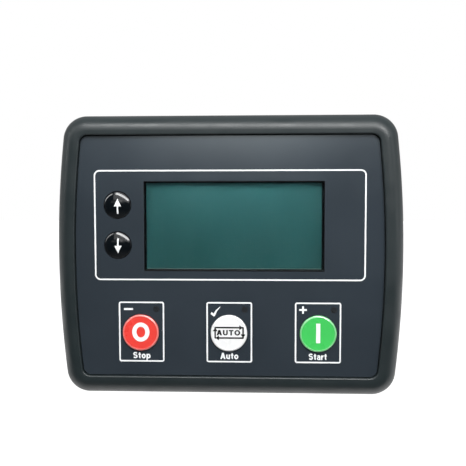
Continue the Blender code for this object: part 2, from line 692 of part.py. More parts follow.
def build_display_board(material):
    outline = rectangle(-BOARD_HALF_WIDTH, BOARD_HALF_WIDTH, -BOARD_HALF_HEIGHT, BOARD_HALF_HEIGHT)
    board = prism_object("display_board", outline, DISPLAY_BOARD_FRONT_Y, DISPLAY_BOARD_BACK_Y, material)
    bm = bmesh.new()
    through = (DISPLAY_BOARD_FRONT_Y - BOARD_THICKNESS, DISPLAY_BOARD_BACK_Y + BOARD_THICKNESS)
    for x, z in CASE_SCREW_PLACES:
        add_prism(bm, circle(x, z, BOSS_RADIUS + GAP, SCREW_SEGMENTS), *through)
    for x, z in BOARD_SCREW_PLACES:
        add_prism(bm, circle(x, z, BOARD_SCREW_RADIUS + GAP, PIN_SEGMENTS), *through)
    boolean(board, "DIFFERENCE", make_helper("display_board_holes", bm))


def build_main_board(board_material, link_material, relay_material, can_material, chip_material):
    half_width = CASE_HALF_WIDTH - 2 * CASE_WALL - GAP
    half_height = TOWER_HALF_HEIGHT - CASE_WALL - GAP
    outline = rounded_rectangle(half_width, half_height, CASE_CORNER_RADIUS / 2)
    prism_object("main_board", outline, MAIN_BOARD_FRONT_Y, MAIN_BOARD_BACK_Y, board_material)
    back_y = MAIN_BOARD_FRONT_Y - GAP

    bm = bmesh.new()
    front_y = DISPLAY_BOARD_BACK_Y + GAP
    middle_y = (front_y + back_y) / 2
    narrow = centred_rectangle(0, LINK_Z, LINK_WIDTH - 2 * PIN_SIDE, LINK_HEIGHT - PIN_SIDE)
    wide = centred_rectangle(0, LINK_Z, LINK_WIDTH, LINK_HEIGHT)
    loops = [at_depth(narrow, front_y), at_depth(narrow, middle_y), at_depth(wide, middle_y)]
    add_loft(bm, loops + [at_depth(wide, back_y)])
    make_object("board_link", bm, link_material)

    for number in range(3):
        x = RELAY_PITCH * (number - 1)
        bm = bmesh.new()
        edge = RELAY_HEIGHT / 20
        top = centred_rectangle(x, RELAY_Z, RELAY_LENGTH - 2 * edge, RELAY_WIDTH - 2 * edge)
        body = centred_rectangle(x, RELAY_Z, RELAY_LENGTH, RELAY_WIDTH)
        loops = [at_depth(top, back_y - RELAY_HEIGHT), at_depth(body, back_y - RELAY_HEIGHT + edge)]
        add_loft(bm, loops + [at_depth(body, back_y)])
        make_object(f"relay_{number + 1}", bm, relay_material)

    edge = CAPACITOR_RADIUS / 8
    groove_y = back_y - CAPACITOR_HEIGHT / 6
    profile = [
        (0, back_y - CAPACITOR_HEIGHT),
        (CAPACITOR_RADIUS - edge, back_y - CAPACITOR_HEIGHT),
        (CAPACITOR_RADIUS, back_y - CAPACITOR_HEIGHT + edge),
        (CAPACITOR_RADIUS, groove_y - edge),
        (CAPACITOR_RADIUS - edge, groove_y),
        (CAPACITOR_RADIUS, groove_y + edge),
        (CAPACITOR_RADIUS, back_y),
        (0, back_y),
    ]
    for number in range(2):
        x = -RELAY_PITCH + number * CAPACITOR_RADIUS * 2.5
        turned_object(f"capacitor_{number + 1}", x, WINDOW_Z, profile, PIN_SEGMENTS, can_material)
    outline = centred_rectangle(RELAY_PITCH / 2, WINDOW_Z, PROCESSOR_SIDE, PROCESSOR_SIDE)
    prism_object("processor", outline, back_y - PROCESSOR_HEIGHT, back_y, chip_material)


def terminal_width(ways, pitch):
    """Outer width of the socket that takes a plug of this many ways."""
    return ways * pitch + 2 * (GAP + SOCKET_WALL)


def build_socket(name, ways, pitch, x, side, material):
    """The socket on the main board: a shroud open towards the case's edge, with a row of pins."""
    wall_z = side * TOWER_HALF_HEIGHT
    back_z = wall_z - side * SOCKET_LENGTH
    floor_z = back_z + side * SOCKET_FLOOR
    half = terminal_width(ways, pitch) / 2
    reach = half - SOCKET_WALL
    bm = bmesh.new()
    outer = rectangle(-half, half, SOCKET_FRONT_Y, SOCKET_BACK_Y)
    inner = rectangle(-reach, reach, SOCKET_FRONT_Y + SOCKET_WALL, SOCKET_BACK_Y - SOCKET_WALL)
    levels = ((outer, back_z), (outer, wall_z), (inner, wall_z), (inner, floor_z))
    add_loft(bm, [[Vector((x + dx, y, z)) for dx, y in points] for points, z in levels])
    socket = make_object(f"{name}_socket", bm, material)
    bm = bmesh.new()
    middle_y = (SOCKET_FRONT_Y + SOCKET_BACK_Y) / 2
    ends = sorted((back_z + side * SOCKET_FLOOR / 2, floor_z + side * PIN_LENGTH))
    for way in range(ways):
        pin_x = x + (way - (ways - 1) / 2) * pitch
        half_pin = PIN_SIDE / 2
        add_box(bm, pin_x - half_pin, pin_x + half_pin, middle_y - half_pin, middle_y + half_pin, *ends)
    boolean(socket, "UNION", make_helper(f"{name}_pins", bm))


def build_plug(name, ways, pitch, x, side, material):
    """The plug: a nose inside the socket, and a body on the case's step with a clamp for each way."""
    body_y0, body_y1 = SHELF_Y + GAP, CASE_DEPTH
    nose_y0 = SOCKET_FRONT_Y + SOCKET_WALL + GAP
    nose_y1 = SOCKET_BACK_Y - SOCKET_WALL - GAP
    outer_d = STEP_HEIGHT - GAP
    half = ways * pitch / 2
    section = [
        (-PLUG_NOSE, nose_y0),
        (GAP, nose_y0),
        (GAP, body_y0),
        (outer_d, body_y0),
        (outer_d, body_y1 - PLUG_SLOPE),
        (outer_d - PLUG_SLOPE / 2, body_y1),
        (GAP, body_y1),
        (GAP, nose_y1),
        (-PLUG_NOSE, nose_y1),
    ]

    def place(d):
        return side * (TOWER_HALF_HEIGHT + d)

    bm = bmesh.new()
    add_loft(bm, [[Vector((x + end, y, place(d))) for d, y in section] for end in (-half, half)])
    plug = make_object(f"{name}_plug", bm, material)

    bm = bmesh.new()
    middle_y = (SOCKET_FRONT_Y + SOCKET_BACK_Y) / 2
    channel = sorted((place(-PLUG_NOSE - GAP), place(-PLUG_NOSE + PLUG_CHANNEL_DEPTH)))
    channel_x = (x - half + SOCKET_WALL, x + half - SOCKET_WALL)
    channel_y = (middle_y - PLUG_CHANNEL / 2, middle_y + PLUG_CHANNEL / 2)
    add_box(bm, *channel_x, *channel_y, *channel)
    entry = sorted((place(outer_d + GAP), place(outer_d - WIRE_ENTRY_DEPTH)))
    clamp_z = place((outer_d - PLUG_SLOPE / 2 + GAP) / 2)
    for way in range(ways):
        way_x = x + (way - (ways - 1) / 2) * pitch
        entry_x = (way_x - WIRE_ENTRY_WIDTH / 2, way_x + WIRE_ENTRY_WIDTH / 2)
        entry_y = (middle_y - WIRE_ENTRY_HEIGHT / 2, middle_y + WIRE_ENTRY_HEIGHT / 2)
        add_box(bm, *entry_x, *entry_y, *entry)
        hole = circle(way_x, clamp_z, CLAMP_HOLE_RADIUS, HOLE_SEGMENTS)
        add_prism(bm, hole, CASE_DEPTH - CLAMP_HOLE_DEPTH, CASE_DEPTH + GAP)
    grooves = sorted((place(outer_d - WAY_GROOVE), place(outer_d + GAP)))
    for way in range(1, ways):
        groove_x = x + (way - ways / 2) * pitch
        half_groove = WAY_GROOVE / 2
        add_box(bm, groove_x - half_groove, groove_x + half_groove, body_y0 - GAP, body_y1 + GAP, *grooves)
    boolean(plug, "DIFFERENCE", make_helper(f"{name}_plug_openings", bm))


def build_usb_socket(material):
    """Square service socket that faces the back, with a tongue in a chamfered mouth."""
    front_y = MAIN_BOARD_BACK_Y + GAP
    back_y = CASE_DEPTH - GAP
    bm = bmesh.new()

    def shape(width, height, chamfer):
        half_width, half_height = width / 2, height / 2
        points = [(-half_width, -half_height), (half_width, -half_height)]
        points += [(half_width, half_height - chamfer), (half_width - chamfer, half_height)]
        points += [(-half_width + chamfer, half_height), (-half_width, half_height - chamfer)]
        return [(USB_X + px, USB_Z + pz) for px, pz in points]

    outer = shape(USB_WIDTH, USB_HEIGHT, USB_MOUTH_CHAMFER / 4)
    mouth = shape(USB_MOUTH_WIDTH, USB_MOUTH_HEIGHT, USB_MOUTH_CHAMFER)
    floor_y = back_y - USB_MOUTH_DEPTH
    loops = [at_depth(outer, front_y), at_depth(outer, back_y)]
    add_loft(bm, loops + [at_depth(mouth, back_y), at_depth(mouth, floor_y)])
    socket = make_object("usb_socket", bm, material)
    bm = bmesh.new()
    tongue = centred_rectangle(USB_X, USB_Z, USB_TONGUE_WIDTH, USB_TONGUE_HEIGHT)
    add_prism(bm, tongue, floor_y - PIN_SIDE / 2, back_y - PIN_SIDE)
    boolean(socket, "UNION", make_helper("usb_tongue", bm))


def rounded_block(bm, half_width, half_height, y0, y1):
    """A block of the case along Y, with round corners and a rounded edge at its back end."""
    loops = [at_depth(rounded_rectangle(half_width, half_height, CASE_CORNER_RADIUS), y0)]
    for i in range(CASE_EDGE_SEGMENTS + 1):
        angle = math.pi / 2 * i / CASE_EDGE_SEGMENTS
        inset = CASE_EDGE_RADIUS * (1 - math.cos(angle))
        corner = CASE_CORNER_RADIUS - inset
        outline = rounded_rectangle(half_width - inset, half_height - inset, corner)
        loops.append(at_depth(outline, y1 - CASE_EDGE_RADIUS * (1 - math.sin(angle))))
    add_loft(bm, loops)


def build_case(material):
    front_y = PLATE_BACK_Y + GAP
    bm = bmesh.new()
    rounded_block(bm, CASE_HALF_WIDTH, CASE_HALF_HEIGHT, front_y, SHELF_Y)
    case = make_object("rear_case", bm, material)

    bm = bmesh.new()
    tower_half_width = CASE_HALF_WIDTH - CASE_WALL
    tower_start = SHELF_Y - CASE_WALL / 2
    rounded_block(bm, tower_half_width, TOWER_HALF_HEIGHT, tower_start, CASE_DEPTH)
    boolean(case, "UNION", make_helper("case_tower", bm))

    bm = bmesh.new()
    half_height = CASE_HALF_HEIGHT - CASE_WALL
    outline = rounded_rectangle(tower_half_width, half_height, CASE_CORNER_RADIUS / 2)
    cavity_half = tower_half_width - CASE_WALL
    tower = rounded_rectangle(cavity_half, TOWER_HALF_HEIGHT - CASE_WALL, CASE_CORNER_RADIUS / 2)
    floor_y = SHELF_Y - CASE_WALL
    loops = [at_depth(outline, front_y - GAP), at_depth(outline, floor_y), at_depth(tower, floor_y)]
    add_loft(bm, loops + [at_depth(tower, CASE_DEPTH - CASE_WALL)])
    boolean(case, "DIFFERENCE", make_helper("case_cavity", bm))

    bm = bmesh.new()
    for x, z in CASE_SCREW_PLACES:
        add_prism(bm, circle(x, z, BOSS_RADIUS, SCREW_SEGMENTS), BOSS_END_Y, floor_y + CASE_WALL / 2)
    post_x = cavity_half - POST_RADIUS - GAP
    post_z = SOCKET_LENGTH / 2
    for x in (-post_x, post_x):
        for z in (-post_z, post_z):
            outline = circle(x, z, POST_RADIUS, PIN_SEGMENTS)
            add_prism(bm, outline, MAIN_BOARD_BACK_Y + GAP, CASE_DEPTH - CASE_WALL / 2)
    boolean(case, "UNION", make_helper("case_posts", bm))

    bm = bmesh.new()
    for x, z in CASE_SCREW_PLACES:
        hole = circle(x, z, CASE_SCREW_RADIUS + GAP, SCREW_SEGMENTS)
        head = circle(x, z, CASE_SCREW_HEAD_RADIUS + GAP, SCREW_SEGMENTS)
        head_y = case_screw_head() - GAP
        loops = [at_depth(hole, BOSS_END_Y - GAP), at_depth(hole, head_y), at_depth(head, head_y)]
        add_loft(bm, loops + [at_depth(head, SHELF_Y + GAP)])
    for name, ways, pitch, x, side in TERMINALS:
        half = terminal_width(ways, pitch) / 2 + GAP
        ends = sorted((side * (TOWER_HALF_HEIGHT + GAP), side * (TOWER_HALF_HEIGHT - 2 * CASE_WALL)))
        add_box(bm, x - half, x + half, MAIN_BOARD_BACK_Y, SOCKET_BACK_Y + GAP, *ends)
    usb = centred_rectangle(USB_X, USB_Z, USB_WIDTH + 2 * GAP, USB_HEIGHT + 2 * GAP)
    add_prism(bm, usb, CASE_DEPTH - 2 * CASE_WALL, CASE_DEPTH + CASE_WALL)
    near = CASE_HALF_WIDTH - CASE_WALL - CLIP_SLOT_OVERRUN
    far = CASE_HALF_WIDTH + CLIP_SLOT_OVERRUN
    slot_end = CLIP_SLOT_DEPTH + CLIP_SLOT_LENGTH
    for row in (-1, 0, 1):
        for z in (row * CLIP_SLOT_PITCH - CLIP_SLOT_Z, row * CLIP_SLOT_PITCH + CLIP_SLOT_Z):
            z0, z1 = z - CLIP_SLOT_WIDTH / 2, z + CLIP_SLOT_WIDTH / 2
            add_box(bm, near, far, CLIP_SLOT_DEPTH, slot_end, z0, z1)
            add_box(bm, -far, -near, CLIP_SLOT_DEPTH, slot_end, z0, z1)
    boolean(case, "DIFFERENCE", make_helper("case_openings", bm))

    bm = bmesh.new()
    recess = centred_rectangle(BACK_RECESS_X, 0, BACK_RECESS_WIDTH, BACK_RECESS_HEIGHT)
    add_prism(bm, recess, CASE_DEPTH - BACK_RECESS_DEPTH, CASE_DEPTH + GAP)
    boolean(case, "DIFFERENCE", make_helper("case_back_recess", bm))


def main():
    clear_scene()
    bezel_plastic = make_material("bezel_plastic", (0.045, 0.050, 0.050), 0.42)
    case_plastic = make_material("case_plastic", (0.030, 0.031, 0.033), 0.55)
    overlay_film = make_material("overlay_film", (0.040, 0.049, 0.062), 0.38)
    clear_plastic = make_material("clear_plastic", (0.80, 0.90, 0.90), 0.05, alpha=0.3)
    frame_black = make_material("frame_black", (0.008, 0.009, 0.010), 0.5)
    lcd_teal = make_material("lcd_teal", (0.040, 0.118, 0.112), 0.3)
    diffuser_white = make_material("diffuser_white", (0.75, 0.80, 0.75), 0.6)
    gloss_black = make_material("gloss_black", (0.006, 0.007, 0.008), 0.12)
    stop_red = make_material("stop_red", (0.88, 0.045, 0.035), 0.35)
    auto_white = make_material("auto_white", (0.86, 0.87, 0.86), 0.35)
    start_green = make_material("start_green", (0.05, 0.60, 0.105), 0.35)
    switch_black = make_material("switch_black", (0.02, 0.02, 0.02), 0.5)
    plunger_white = make_material("plunger_white", (0.7, 0.7, 0.66), 0.5)
    led_lens = make_material("led_lens", (0.65, 0.60, 0.55), 0.3)
    board_green = make_material("board_green", (0.01, 0.11, 0.035), 0.4)
    gasket_foam = make_material("gasket_foam", (0.02, 0.02, 0.02), 0.95)
    screw_steel = make_material("screw_steel", (0.6, 0.6, 0.6), 0.3, metallic=1.0)
    terminal_green = make_material("terminal_green", (0.02, 0.26, 0.10), 0.5)
    relay_blue = make_material("relay_blue", (0.02, 0.10, 0.35), 0.4)
    can_metal = make_material("can_metal", (0.6, 0.6, 0.62), 0.35, metallic=1.0)
    socket_metal = make_material("socket_metal", (0.65, 0.65, 0.64), 0.25, metallic=1.0)

    build_bezel(bezel_plastic)
    build_overlay(overlay_film)
    build_gasket(gasket_foam)
    build_display(clear_plastic, frame_black, lcd_teal, diffuser_white)
    cap_colors = {"stop": stop_red, "auto": auto_white, "start": start_green}
    for name, place in COMMAND_PLACES.items():
        build_button(name, place, command_profile(), cap_colors[name], plunger_white, switch_black)
        build_status_light(name, LIGHT_PLACES[name], clear_plastic, led_lens)
    for name, place in NAV_PLACES.items():
        build_button(name, place, nav_profile(), gloss_black, plunger_white, switch_black)
    build_display_board(board_green)
    build_main_board(board_green, switch_black, relay_blue, can_metal, switch_black)
    for terminal in TERMINALS:
        build_socket(*terminal, terminal_green)
        build_plug(*terminal, terminal_green)
    build_usb_socket(socket_metal)
    build_case(case_plastic)
    build_screws(screw_steel)


main()
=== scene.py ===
"""Looks of the generator controller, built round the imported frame.

Sizes are in metres, in the frame of the CAD model: +X right, +Z up, and the fascia faces -Y.
"""

import math

import bmesh
import bpy
from mathutils import Matrix, Vector


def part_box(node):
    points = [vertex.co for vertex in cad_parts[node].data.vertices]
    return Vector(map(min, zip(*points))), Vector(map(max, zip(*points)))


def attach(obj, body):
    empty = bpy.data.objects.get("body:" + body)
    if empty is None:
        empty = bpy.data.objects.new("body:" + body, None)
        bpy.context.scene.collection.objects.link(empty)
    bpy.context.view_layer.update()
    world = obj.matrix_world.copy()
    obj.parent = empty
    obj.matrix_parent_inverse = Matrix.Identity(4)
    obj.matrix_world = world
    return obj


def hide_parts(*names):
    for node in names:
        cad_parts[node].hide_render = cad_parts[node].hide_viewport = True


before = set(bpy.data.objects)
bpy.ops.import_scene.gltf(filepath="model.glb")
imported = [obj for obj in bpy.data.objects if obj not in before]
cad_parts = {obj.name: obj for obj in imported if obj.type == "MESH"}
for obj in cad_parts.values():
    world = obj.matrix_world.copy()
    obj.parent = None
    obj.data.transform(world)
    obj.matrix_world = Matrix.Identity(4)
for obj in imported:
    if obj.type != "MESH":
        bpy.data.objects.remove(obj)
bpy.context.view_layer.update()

# Sizes repeated from the CAD model
GAP = 0.0003
BUTTON_CLEARANCE = 0.00025
CUTOUT_CLEARANCE = 0.0005
CUTOUT_WIDTH = 0.118
CUTOUT_HEIGHT = 0.092
BEZEL_WIDTH = 0.140
BEZEL_HEIGHT = 0.113
BEZEL_DEPTH = 0.010
SIDE_RADIUS = 0.421
CORNER_RADIUS = 0.0098
FRAME_WIDTH = 0.008
FRAME_CREST = 0.0064
FRAME_SIDE_HEIGHT = 0.0024
FRAME_INNER_CORNER = 0.0034
RIM_CHAMFER = 0.0004
RIM_WIDTH = 0.0026
PLATE_FILLET = 0.0013
GASKET_THICKNESS = 0.002
SPIGOT_THICKNESS = 0.002
SPIGOT_LENGTH = 0.0095
JOIN_OVERLAP = 0.0005
OVERLAY_FRONT = -0.0083
OVERLAY_BACK = -0.0079
PLATE_FRONT = -0.0076
PLATE_BACK = -0.0056
WINDOW = (0.002, 0.0123, 0.072, 0.0356)
PANE_FRONT = -0.0066
PANE_BORDER = 0.002
LCD_MARGIN = 0.0033
LCD_WALL = 0.001
LCD_FRAME_FRONT = PLATE_BACK + GAP
DISPLAY_BOARD_FRONT = 0.0046
FLANGE_FRONT = PLATE_BACK + GAP
FLANGE_BACK = FLANGE_FRONT + 0.001
FLANGE_WIDTH = 0.0009
PLUNGER_FRONT = -0.0006
STEM_RADIUS = 0.0018
CAP_WALL = 0.0012
COMMAND_RADIUS = 0.0074
COMMAND_PITCH = 0.03565
COMMAND_Z = -0.0308
NAV_RADIUS = 0.0055
NAV_DOME = 0.0016
NAV_X = -0.0446
NAV_Z = 0.0126
NAV_PITCH = 0.01615
LIGHT_X = 0.0063
LIGHT_Z = 0.00955
LIGHT_RADIUS = 0.0013
CASE_HALF_WIDTH = CUTOUT_WIDTH / 2 - CUTOUT_CLEARANCE
CASE_HALF_HEIGHT = CUTOUT_HEIGHT / 2 - CUTOUT_CLEARANCE
CASE_WALL = 0.002
CASE_CORNER = 0.003
CASE_EDGE = 0.0014
CASE_DEPTH = 0.033
SHELF_Y = 0.021
STEP_HEIGHT = 0.0105
TOWER_HALF_WIDTH = CASE_HALF_WIDTH - CASE_WALL
TOWER_HALF_HEIGHT = CASE_HALF_HEIGHT - STEP_HEIGHT
CASE_SCREW_X = 0.052
CASE_SCREW_Z = 0.039
CASE_SCREW_RADIUS = 0.0015
CASE_SCREW_HEAD = 0.0028
CASE_SCREW_HEIGHT = 0.0018
CASE_SCREW_LENGTH = 0.016
BOSS_RADIUS = 0.0032
BOSS_MEET = SHELF_Y - 0.0085
SLOT_Z = 0.0215
SLOT_PITCH = 0.0038
SLOT_WIDTH = 0.0018
SLOT_START = 0.0075
SLOT_LENGTH = 0.006
BACK_RECESS = (-0.010, 0.0, 0.076, 0.042)
BACK_RECESS_DEPTH = 0.0004
SOCKET_FRONT = 0.0216
SOCKET_BACK = 0.0302
SOCKET_WALL = 0.0008
PLUG_NOSE = 0.008
PLUG_SLOPE = 0.0026
TERMINALS = (
    ("battery_terminals", 9, 0.00508, -0.0225, -1),
    ("output_terminals", 8, 0.00508, 0.0242, -1),
    ("sensor_terminals", 7, 0.00508, -0.0262, 1),
    ("generator_terminals", 4, 0.00762, 0.0115, 1),
)
USB_PLACE = (0.038, 0.024)
USB_SIZE = (0.012, 0.011)
USB_MOUTH = (0.0085, 0.0078)
USB_CHAMFER = 0.0016

COMMANDS = {"stop": -COMMAND_PITCH, "auto": 0.0, "start": COMMAND_PITCH}
NAVS = {"up": NAV_Z + NAV_PITCH / 2, "down": NAV_Z - NAV_PITCH / 2}
SCREW_PLACES = [(sx * CASE_SCREW_X, sz * CASE_SCREW_Z) for sx in (-1, 1) for sz in (-1, 1)]

# How finely the curves are cut here
SIDE_STEPS = 40
CORNER_STEPS = 20
ROLL_STEPS = 22
CAP_STEPS = 96
HOLE_STEPS = 64
SMALL_STEPS = 32
EDGE_STEPS = 8

# The film: it sinks between the two heights, less towards its sides
FILM_SINK = 0.0013
DISH_BOTTOM, DISH_TOP, DISH_SIDE, DISH_LEAST = 0.018, 0.048, 0.065, 0.3
FILM_CLEARANCE = 0.0001
FILM_EDGE = 0.00006
WINDOW_CORNER = 0.0003

# The display: how far its visible field lies inside the window, and the small steps in its face
FIELD_LEFT, FIELD_RIGHT, FIELD_BOTTOM, FIELD_TOP = 0.0006, 0.0009, 0.0002, 0.0006
PANE_EDGE = 0.00015
SURROUND_EDGE = 0.00012
CELL_CLEARANCE = 0.00003
CELL_SINK = 0.00006
# A pale strip along the bottom of the display's field is a painted highlight
HIGHLIGHT_STRIP_HEIGHT = 0.0003
HIGHLIGHT_STRIP_INSET = 0.0002
# Black lining on the window's walls and a black line under its bottom edge: painted shade
SHADE_LINING = 0.00006
SHADE_LINE_HEIGHT = 0.00036

# The caps: the rim of a command cap is a list of (distance in from its edge, depth behind its top)
CAP_INSET, CAP_ROOF = 0.00008, CAP_WALL + 0.0004
COMMAND_TOP = OVERLAY_FRONT - 0.001
COMMAND_FACE = COMMAND_TOP + 0.00009
FACE_INSET = 0.00086
RIM_ROUNDING = 0.00012
COMMAND_RIM = ((0.00068, 0.0), (0.00058, 0.0), (0.00008, 0.00025), (0.0, 0.00045), (0.0, 0.0009))
DOME_RADIUS = NAV_RADIUS - 0.00014
DOME_SHARE = 0.996
DOME_ROUNDING = 0.00012
DOME_STEPS = 28

# Cutting bodies reach past the piece by CUT_REACH, and HAIR keeps two faces apart
CUT_REACH = 0.002
HAIR = 0.00001
MERGE_DISTANCE = 0.000001

# Edges that turn by more than this, in degrees, stay sharp in the shading
SHARP_ANGLE, SOFT_ANGLE, CAP_ANGLE, THREAD_ANGLE = 35, 50, 60, 30

# Printing, placed by the fit to the photograph
INK_THICKNESS = 0.00003
PRINT_SLOTS = {"white_print": "auto_white", "black_print": "frame_black"}
LINE = 0.0006
PANEL_X, PANEL_WIDTH, PANEL_TOP, PANEL_BOTTOM, PANEL_CORNER = 0.00016, 0.1084, 0.03465, -0.0096, 0.0023
BOX_WIDTH, BOX_TOP, BOX_BOTTOM, BOX_CORNER = 0.0184, -0.01827, -0.04278, 0.0009
BOX_SHIFT = {"stop": 0.0003, "auto": 0.00012, "start": -0.00005}
MINUS, MINUS_CORNER = (-0.00495, -0.02132, 0.0037, 0.0008), 0.0002
PLUS = (-0.00603, -0.02127)
PLUS_ARM, PLUS_HALF = 0.00152, 0.00036
TICK = [
    (-0.0074, -0.0231), (-0.00695, -0.0223), (-0.0062, -0.02295), (-0.00525, -0.0215), (-0.0035, -0.0201),
    (-0.0034, -0.0202), (-0.00475, -0.02195), (-0.0057, -0.0240), (-0.00615, -0.0241),
]
WORDS = (("stop", "Stop", 1.03), ("auto", "Auto", 1.03), ("start", "Start", 0.97))
WORD_Z, WORD_HEIGHT, WORD_WEIGHT, WORD_GAP = -0.04145, 0.0026, 0.21, 0.09
STOP_SHIFT = 0.00012
STOP_OUTER, STOP_INNER = (0.0070, 0.0078), (0.00355, 0.0044)
START_BAR = (0.00165, 0.0079)
MARK_RISE = 0.0003
AUTO_SHIFT, AUTO_RISE = 0.0001, 0.00026
AUTO_BOX = (0.0118, 0.0048)
AUTO_CORNER = 0.0004
AUTO_HEAD, AUTO_HEAD_HALF, AUTO_HEAD_INSET = 0.0013, 0.0010, 0.0002
AUTO_WORD_PLACE = (-0.00027, -0.00104)
AUTO_WORD_SIZE = (0.00217, 0.22, 0.14, 1.26)
ARROW_LENGTH = 0.00605
ARROW_SHIFT = 0.0003
ARROW_DROP = {"up": 0.00052, "down": 0.00015}
HEAD_WIDTH = 0.00295
HEAD_LENGTH = 0.00305
SHAFT_WIDTH = 0.00064

# Back: the case's openings, screws, plugs and the service socket
SLOT_REACH = 0.0002
RECESS_CORNER = 0.001
CROSS_ARM, CROSS_HALF = 0.00168, 0.00035
SHANK_OVERLAP, NECK_LENGTH = 0.0004, 0.001
THREAD_TURNS = 18
THREAD_SHARE = 0.8
PLUG_EDGE = 0.00018
GROOVE_HALF, GROOVE_DEPTH = 0.0003, 0.0006
ENTRY_HALF_X, ENTRY_HALF_Y, ENTRY_DEPTH = 0.0016, 0.0017, 0.004
CHANNEL_HALF, CHANNEL_DEPTH = 0.0013, 0.0067
CLAMP_HOLE, CLAMP_HOLE_DEPTH = 0.0017, 0.0011
CLAMP_SCREW_RADIUS, CLAMP_SCREW_HEIGHT, CLAMP_SLOT = 0.0015, 0.0007, (0.0033, 0.0004)
CLAMP_SIZE, CLAMP_WALL, CLAMP_LEVELS = (0.0030, 0.0032), 0.0004, (0.0039, 0.0030)
USB_DEPTH, USB_EDGE, USB_HOLE_CORNER = 0.009, 0.0001, 0.0004
TONGUE_SIZE, TONGUE_EDGE, TONGUE_SINK = (0.0056, 0.003), 0.0002, 0.001
CONTACT_X, CONTACT_HALF, CONTACT_ENDS = 0.00125, 0.0005, (0.001, 0.0017)
CONTACT_SINK, CONTACT_RISE = 0.0001, 0.00015


# Materials


def feed(socket, value):
    """Links an input to another socket, or sets it to a value."""
    if hasattr(value, "default_value"):
        socket.id_data.links.new(value, socket)
    else:
        socket.default_value = value


def give(made, **values):
    """Feeds the inputs of a node by their names, and sets what isn't an input."""
    for name, value in values.items():
        label = name.replace("_", " ")
        if label in made.inputs:
            feed(made.inputs[label], value)
        else:
            setattr(made, name, value)


def node(tree, kind, **values):
    made = tree.nodes.new("ShaderNode" + kind)
    give(made, **values)
    return made


def coordinates(tree, space="Object"):
    return node(tree, "TexCoord").outputs[space]


def noise(tree, scale, detail=3.0, stretch=(1, 1, 1)):
    """Noise over the piece's own coordinates, as a number from 0 to 1."""
    mapping = node(tree, "Mapping", Vector=coordinates(tree), Scale=stretch)
    return node(tree, "TexNoise", Vector=mapping.outputs["Vector"], Scale=scale, Detail=detail).outputs["Fac"]


def spread(tree, value, low, high, start=0.35, end=0.65, **settings):
    """The value between start and end, as a number from low to high."""
    limits = {"From_Min": start, "From_Max": end, "To_Min": low, "To_Max": high}
    return node(tree, "MapRange", Value=value, **limits, **settings).outputs["Result"]


def mixed(tree, factor, first, second):
    made = node(tree, "Mix", data_type="RGBA", Factor=factor)
    for name, value in (("A", first), ("B", second)):
        socket = [s for s in made.inputs if s.name == name and s.type == "RGBA"][0]
        feed(socket, (*value, 1.0) if isinstance(value, tuple) else value)
    return [s for s in made.outputs if s.type == "RGBA"][0]


def scaled(color, factor):
    return tuple(min(1.0, channel * factor) for channel in color)


def axes_of(tree, space="Object"):
    """The X, Y and Z of the given coordinates."""
    return node(tree, "SeparateXYZ", Vector=coordinates(tree, space)).outputs


def computed(tree, operation, *values):
    """The result of a Math node on sockets or numbers."""
    made = node(tree, "Math", operation=operation)
    for socket, value in zip(made.inputs, values):
        feed(socket, value)
    return made.outputs[0]


def principled(name):
    material = bpy.data.materials.new(name)
    material.use_nodes = True
    return material, material.node_tree, material.node_tree.nodes["Principled BSDF"]


def surface(
    name,
    color,
    roughness,
    grain=2500.0,
    bump=0.3,
    bump_depth=0.00002,
    patch=45.0,
    patchiness=0.10,
    roughness_spread=0.05,
    wear=0.0,
    wear_color=None,
    worn_from=0.52,
    worn_to=0.60,
    stretch=(1, 1, 1),
    form=None,
    **shader_values,
):
    """A finish whose colour, gloss and fine relief all vary a little, as on a used part."""
    material, tree, shader = principled(name)
    broad = noise(tree, patch, 4.0)
    fine = noise(tree, grain, 2.0, stretch)
    darker, lighter = scaled(color, 1 - patchiness), scaled(color, 1 + patchiness)
    tint = mixed(tree, spread(tree, broad, 0.0, 1.0), darker, lighter)
    speck = spread(tree, fine, 0.0, 0.5, 0.45, 0.75)
    tint = mixed(tree, speck, tint, scaled(color, 1 + 1.5 * patchiness))
    # Paler convex edges: wear on the bezel, case and terminals, and a painted highlight along the rim of the
    # red and green caps
    if wear:
        edges = node(tree, "NewGeometry").outputs["Pointiness"]
        pale_edge = spread(tree, edges, 0.0, wear, worn_from, worn_to)
        tint = mixed(tree, pale_edge, tint, wear_color or scaled(color, 1.8))
    smudge = noise(tree, patch * 2.3, 5.0)
    rough = spread(tree, smudge, roughness - roughness_spread, roughness + roughness_spread)
    relief = node(tree, "Bump", Strength=bump, Distance=bump_depth, Height=fine)
    give(shader, Base_Color=tint, Roughness=rough, Normal=relief.outputs["Normal"], **shader_values)
    if form:
        broad_relief = node(tree, "Bump", Strength=1.0, Distance=1.0, Height=form(tree))
        give(relief, Normal=broad_relief.outputs["Normal"])
    return material


def film_dish(tree):
    """Height in metres: the film sinks a little towards the middle of its top edge."""
    axes = axes_of(tree)
    rise = computed(tree, "POWER", spread(tree, axes["Z"], 0.0, 1.0, DISH_BOTTOM, DISH_TOP), 2.0)
    side = computed(tree, "ABSOLUTE", axes["X"])
    reach = (-FILM_SINK, -DISH_LEAST * FILM_SINK, 0.0, DISH_SIDE)
    sink = spread(tree, side, *reach, interpolation_type="SMOOTHERSTEP")
    return computed(tree, "MULTIPLY", rise, sink)


def glow_in_view(material, strength):
    """Adds light that only the camera, mirrors and glass see: strength below the object, 1 far away."""
    tree = material.node_tree
    path = node(tree, "LightPath")
    seen = path.outputs["Is Camera Ray"]
    for name in ("Is Glossy Ray", "Is Transmission Ray"):
        seen = computed(tree, "MAXIMUM", seen, path.outputs[name])
    reach = node(tree, "VectorMath", operation="LENGTH", Vector=coordinates(tree)).outputs["Value"]
    glow = computed(tree, "MULTIPLY", seen, spread(tree, reach, strength, 1.0, 0.6, 1.6))
    give(tree.nodes["Principled BSDF"], Emission_Color=(1, 1, 1, 1), Emission_Strength=glow)


# Shapes


def about(middle, half):
    """The two ends of a range, half its length from the middle."""
    return middle - half, middle + half


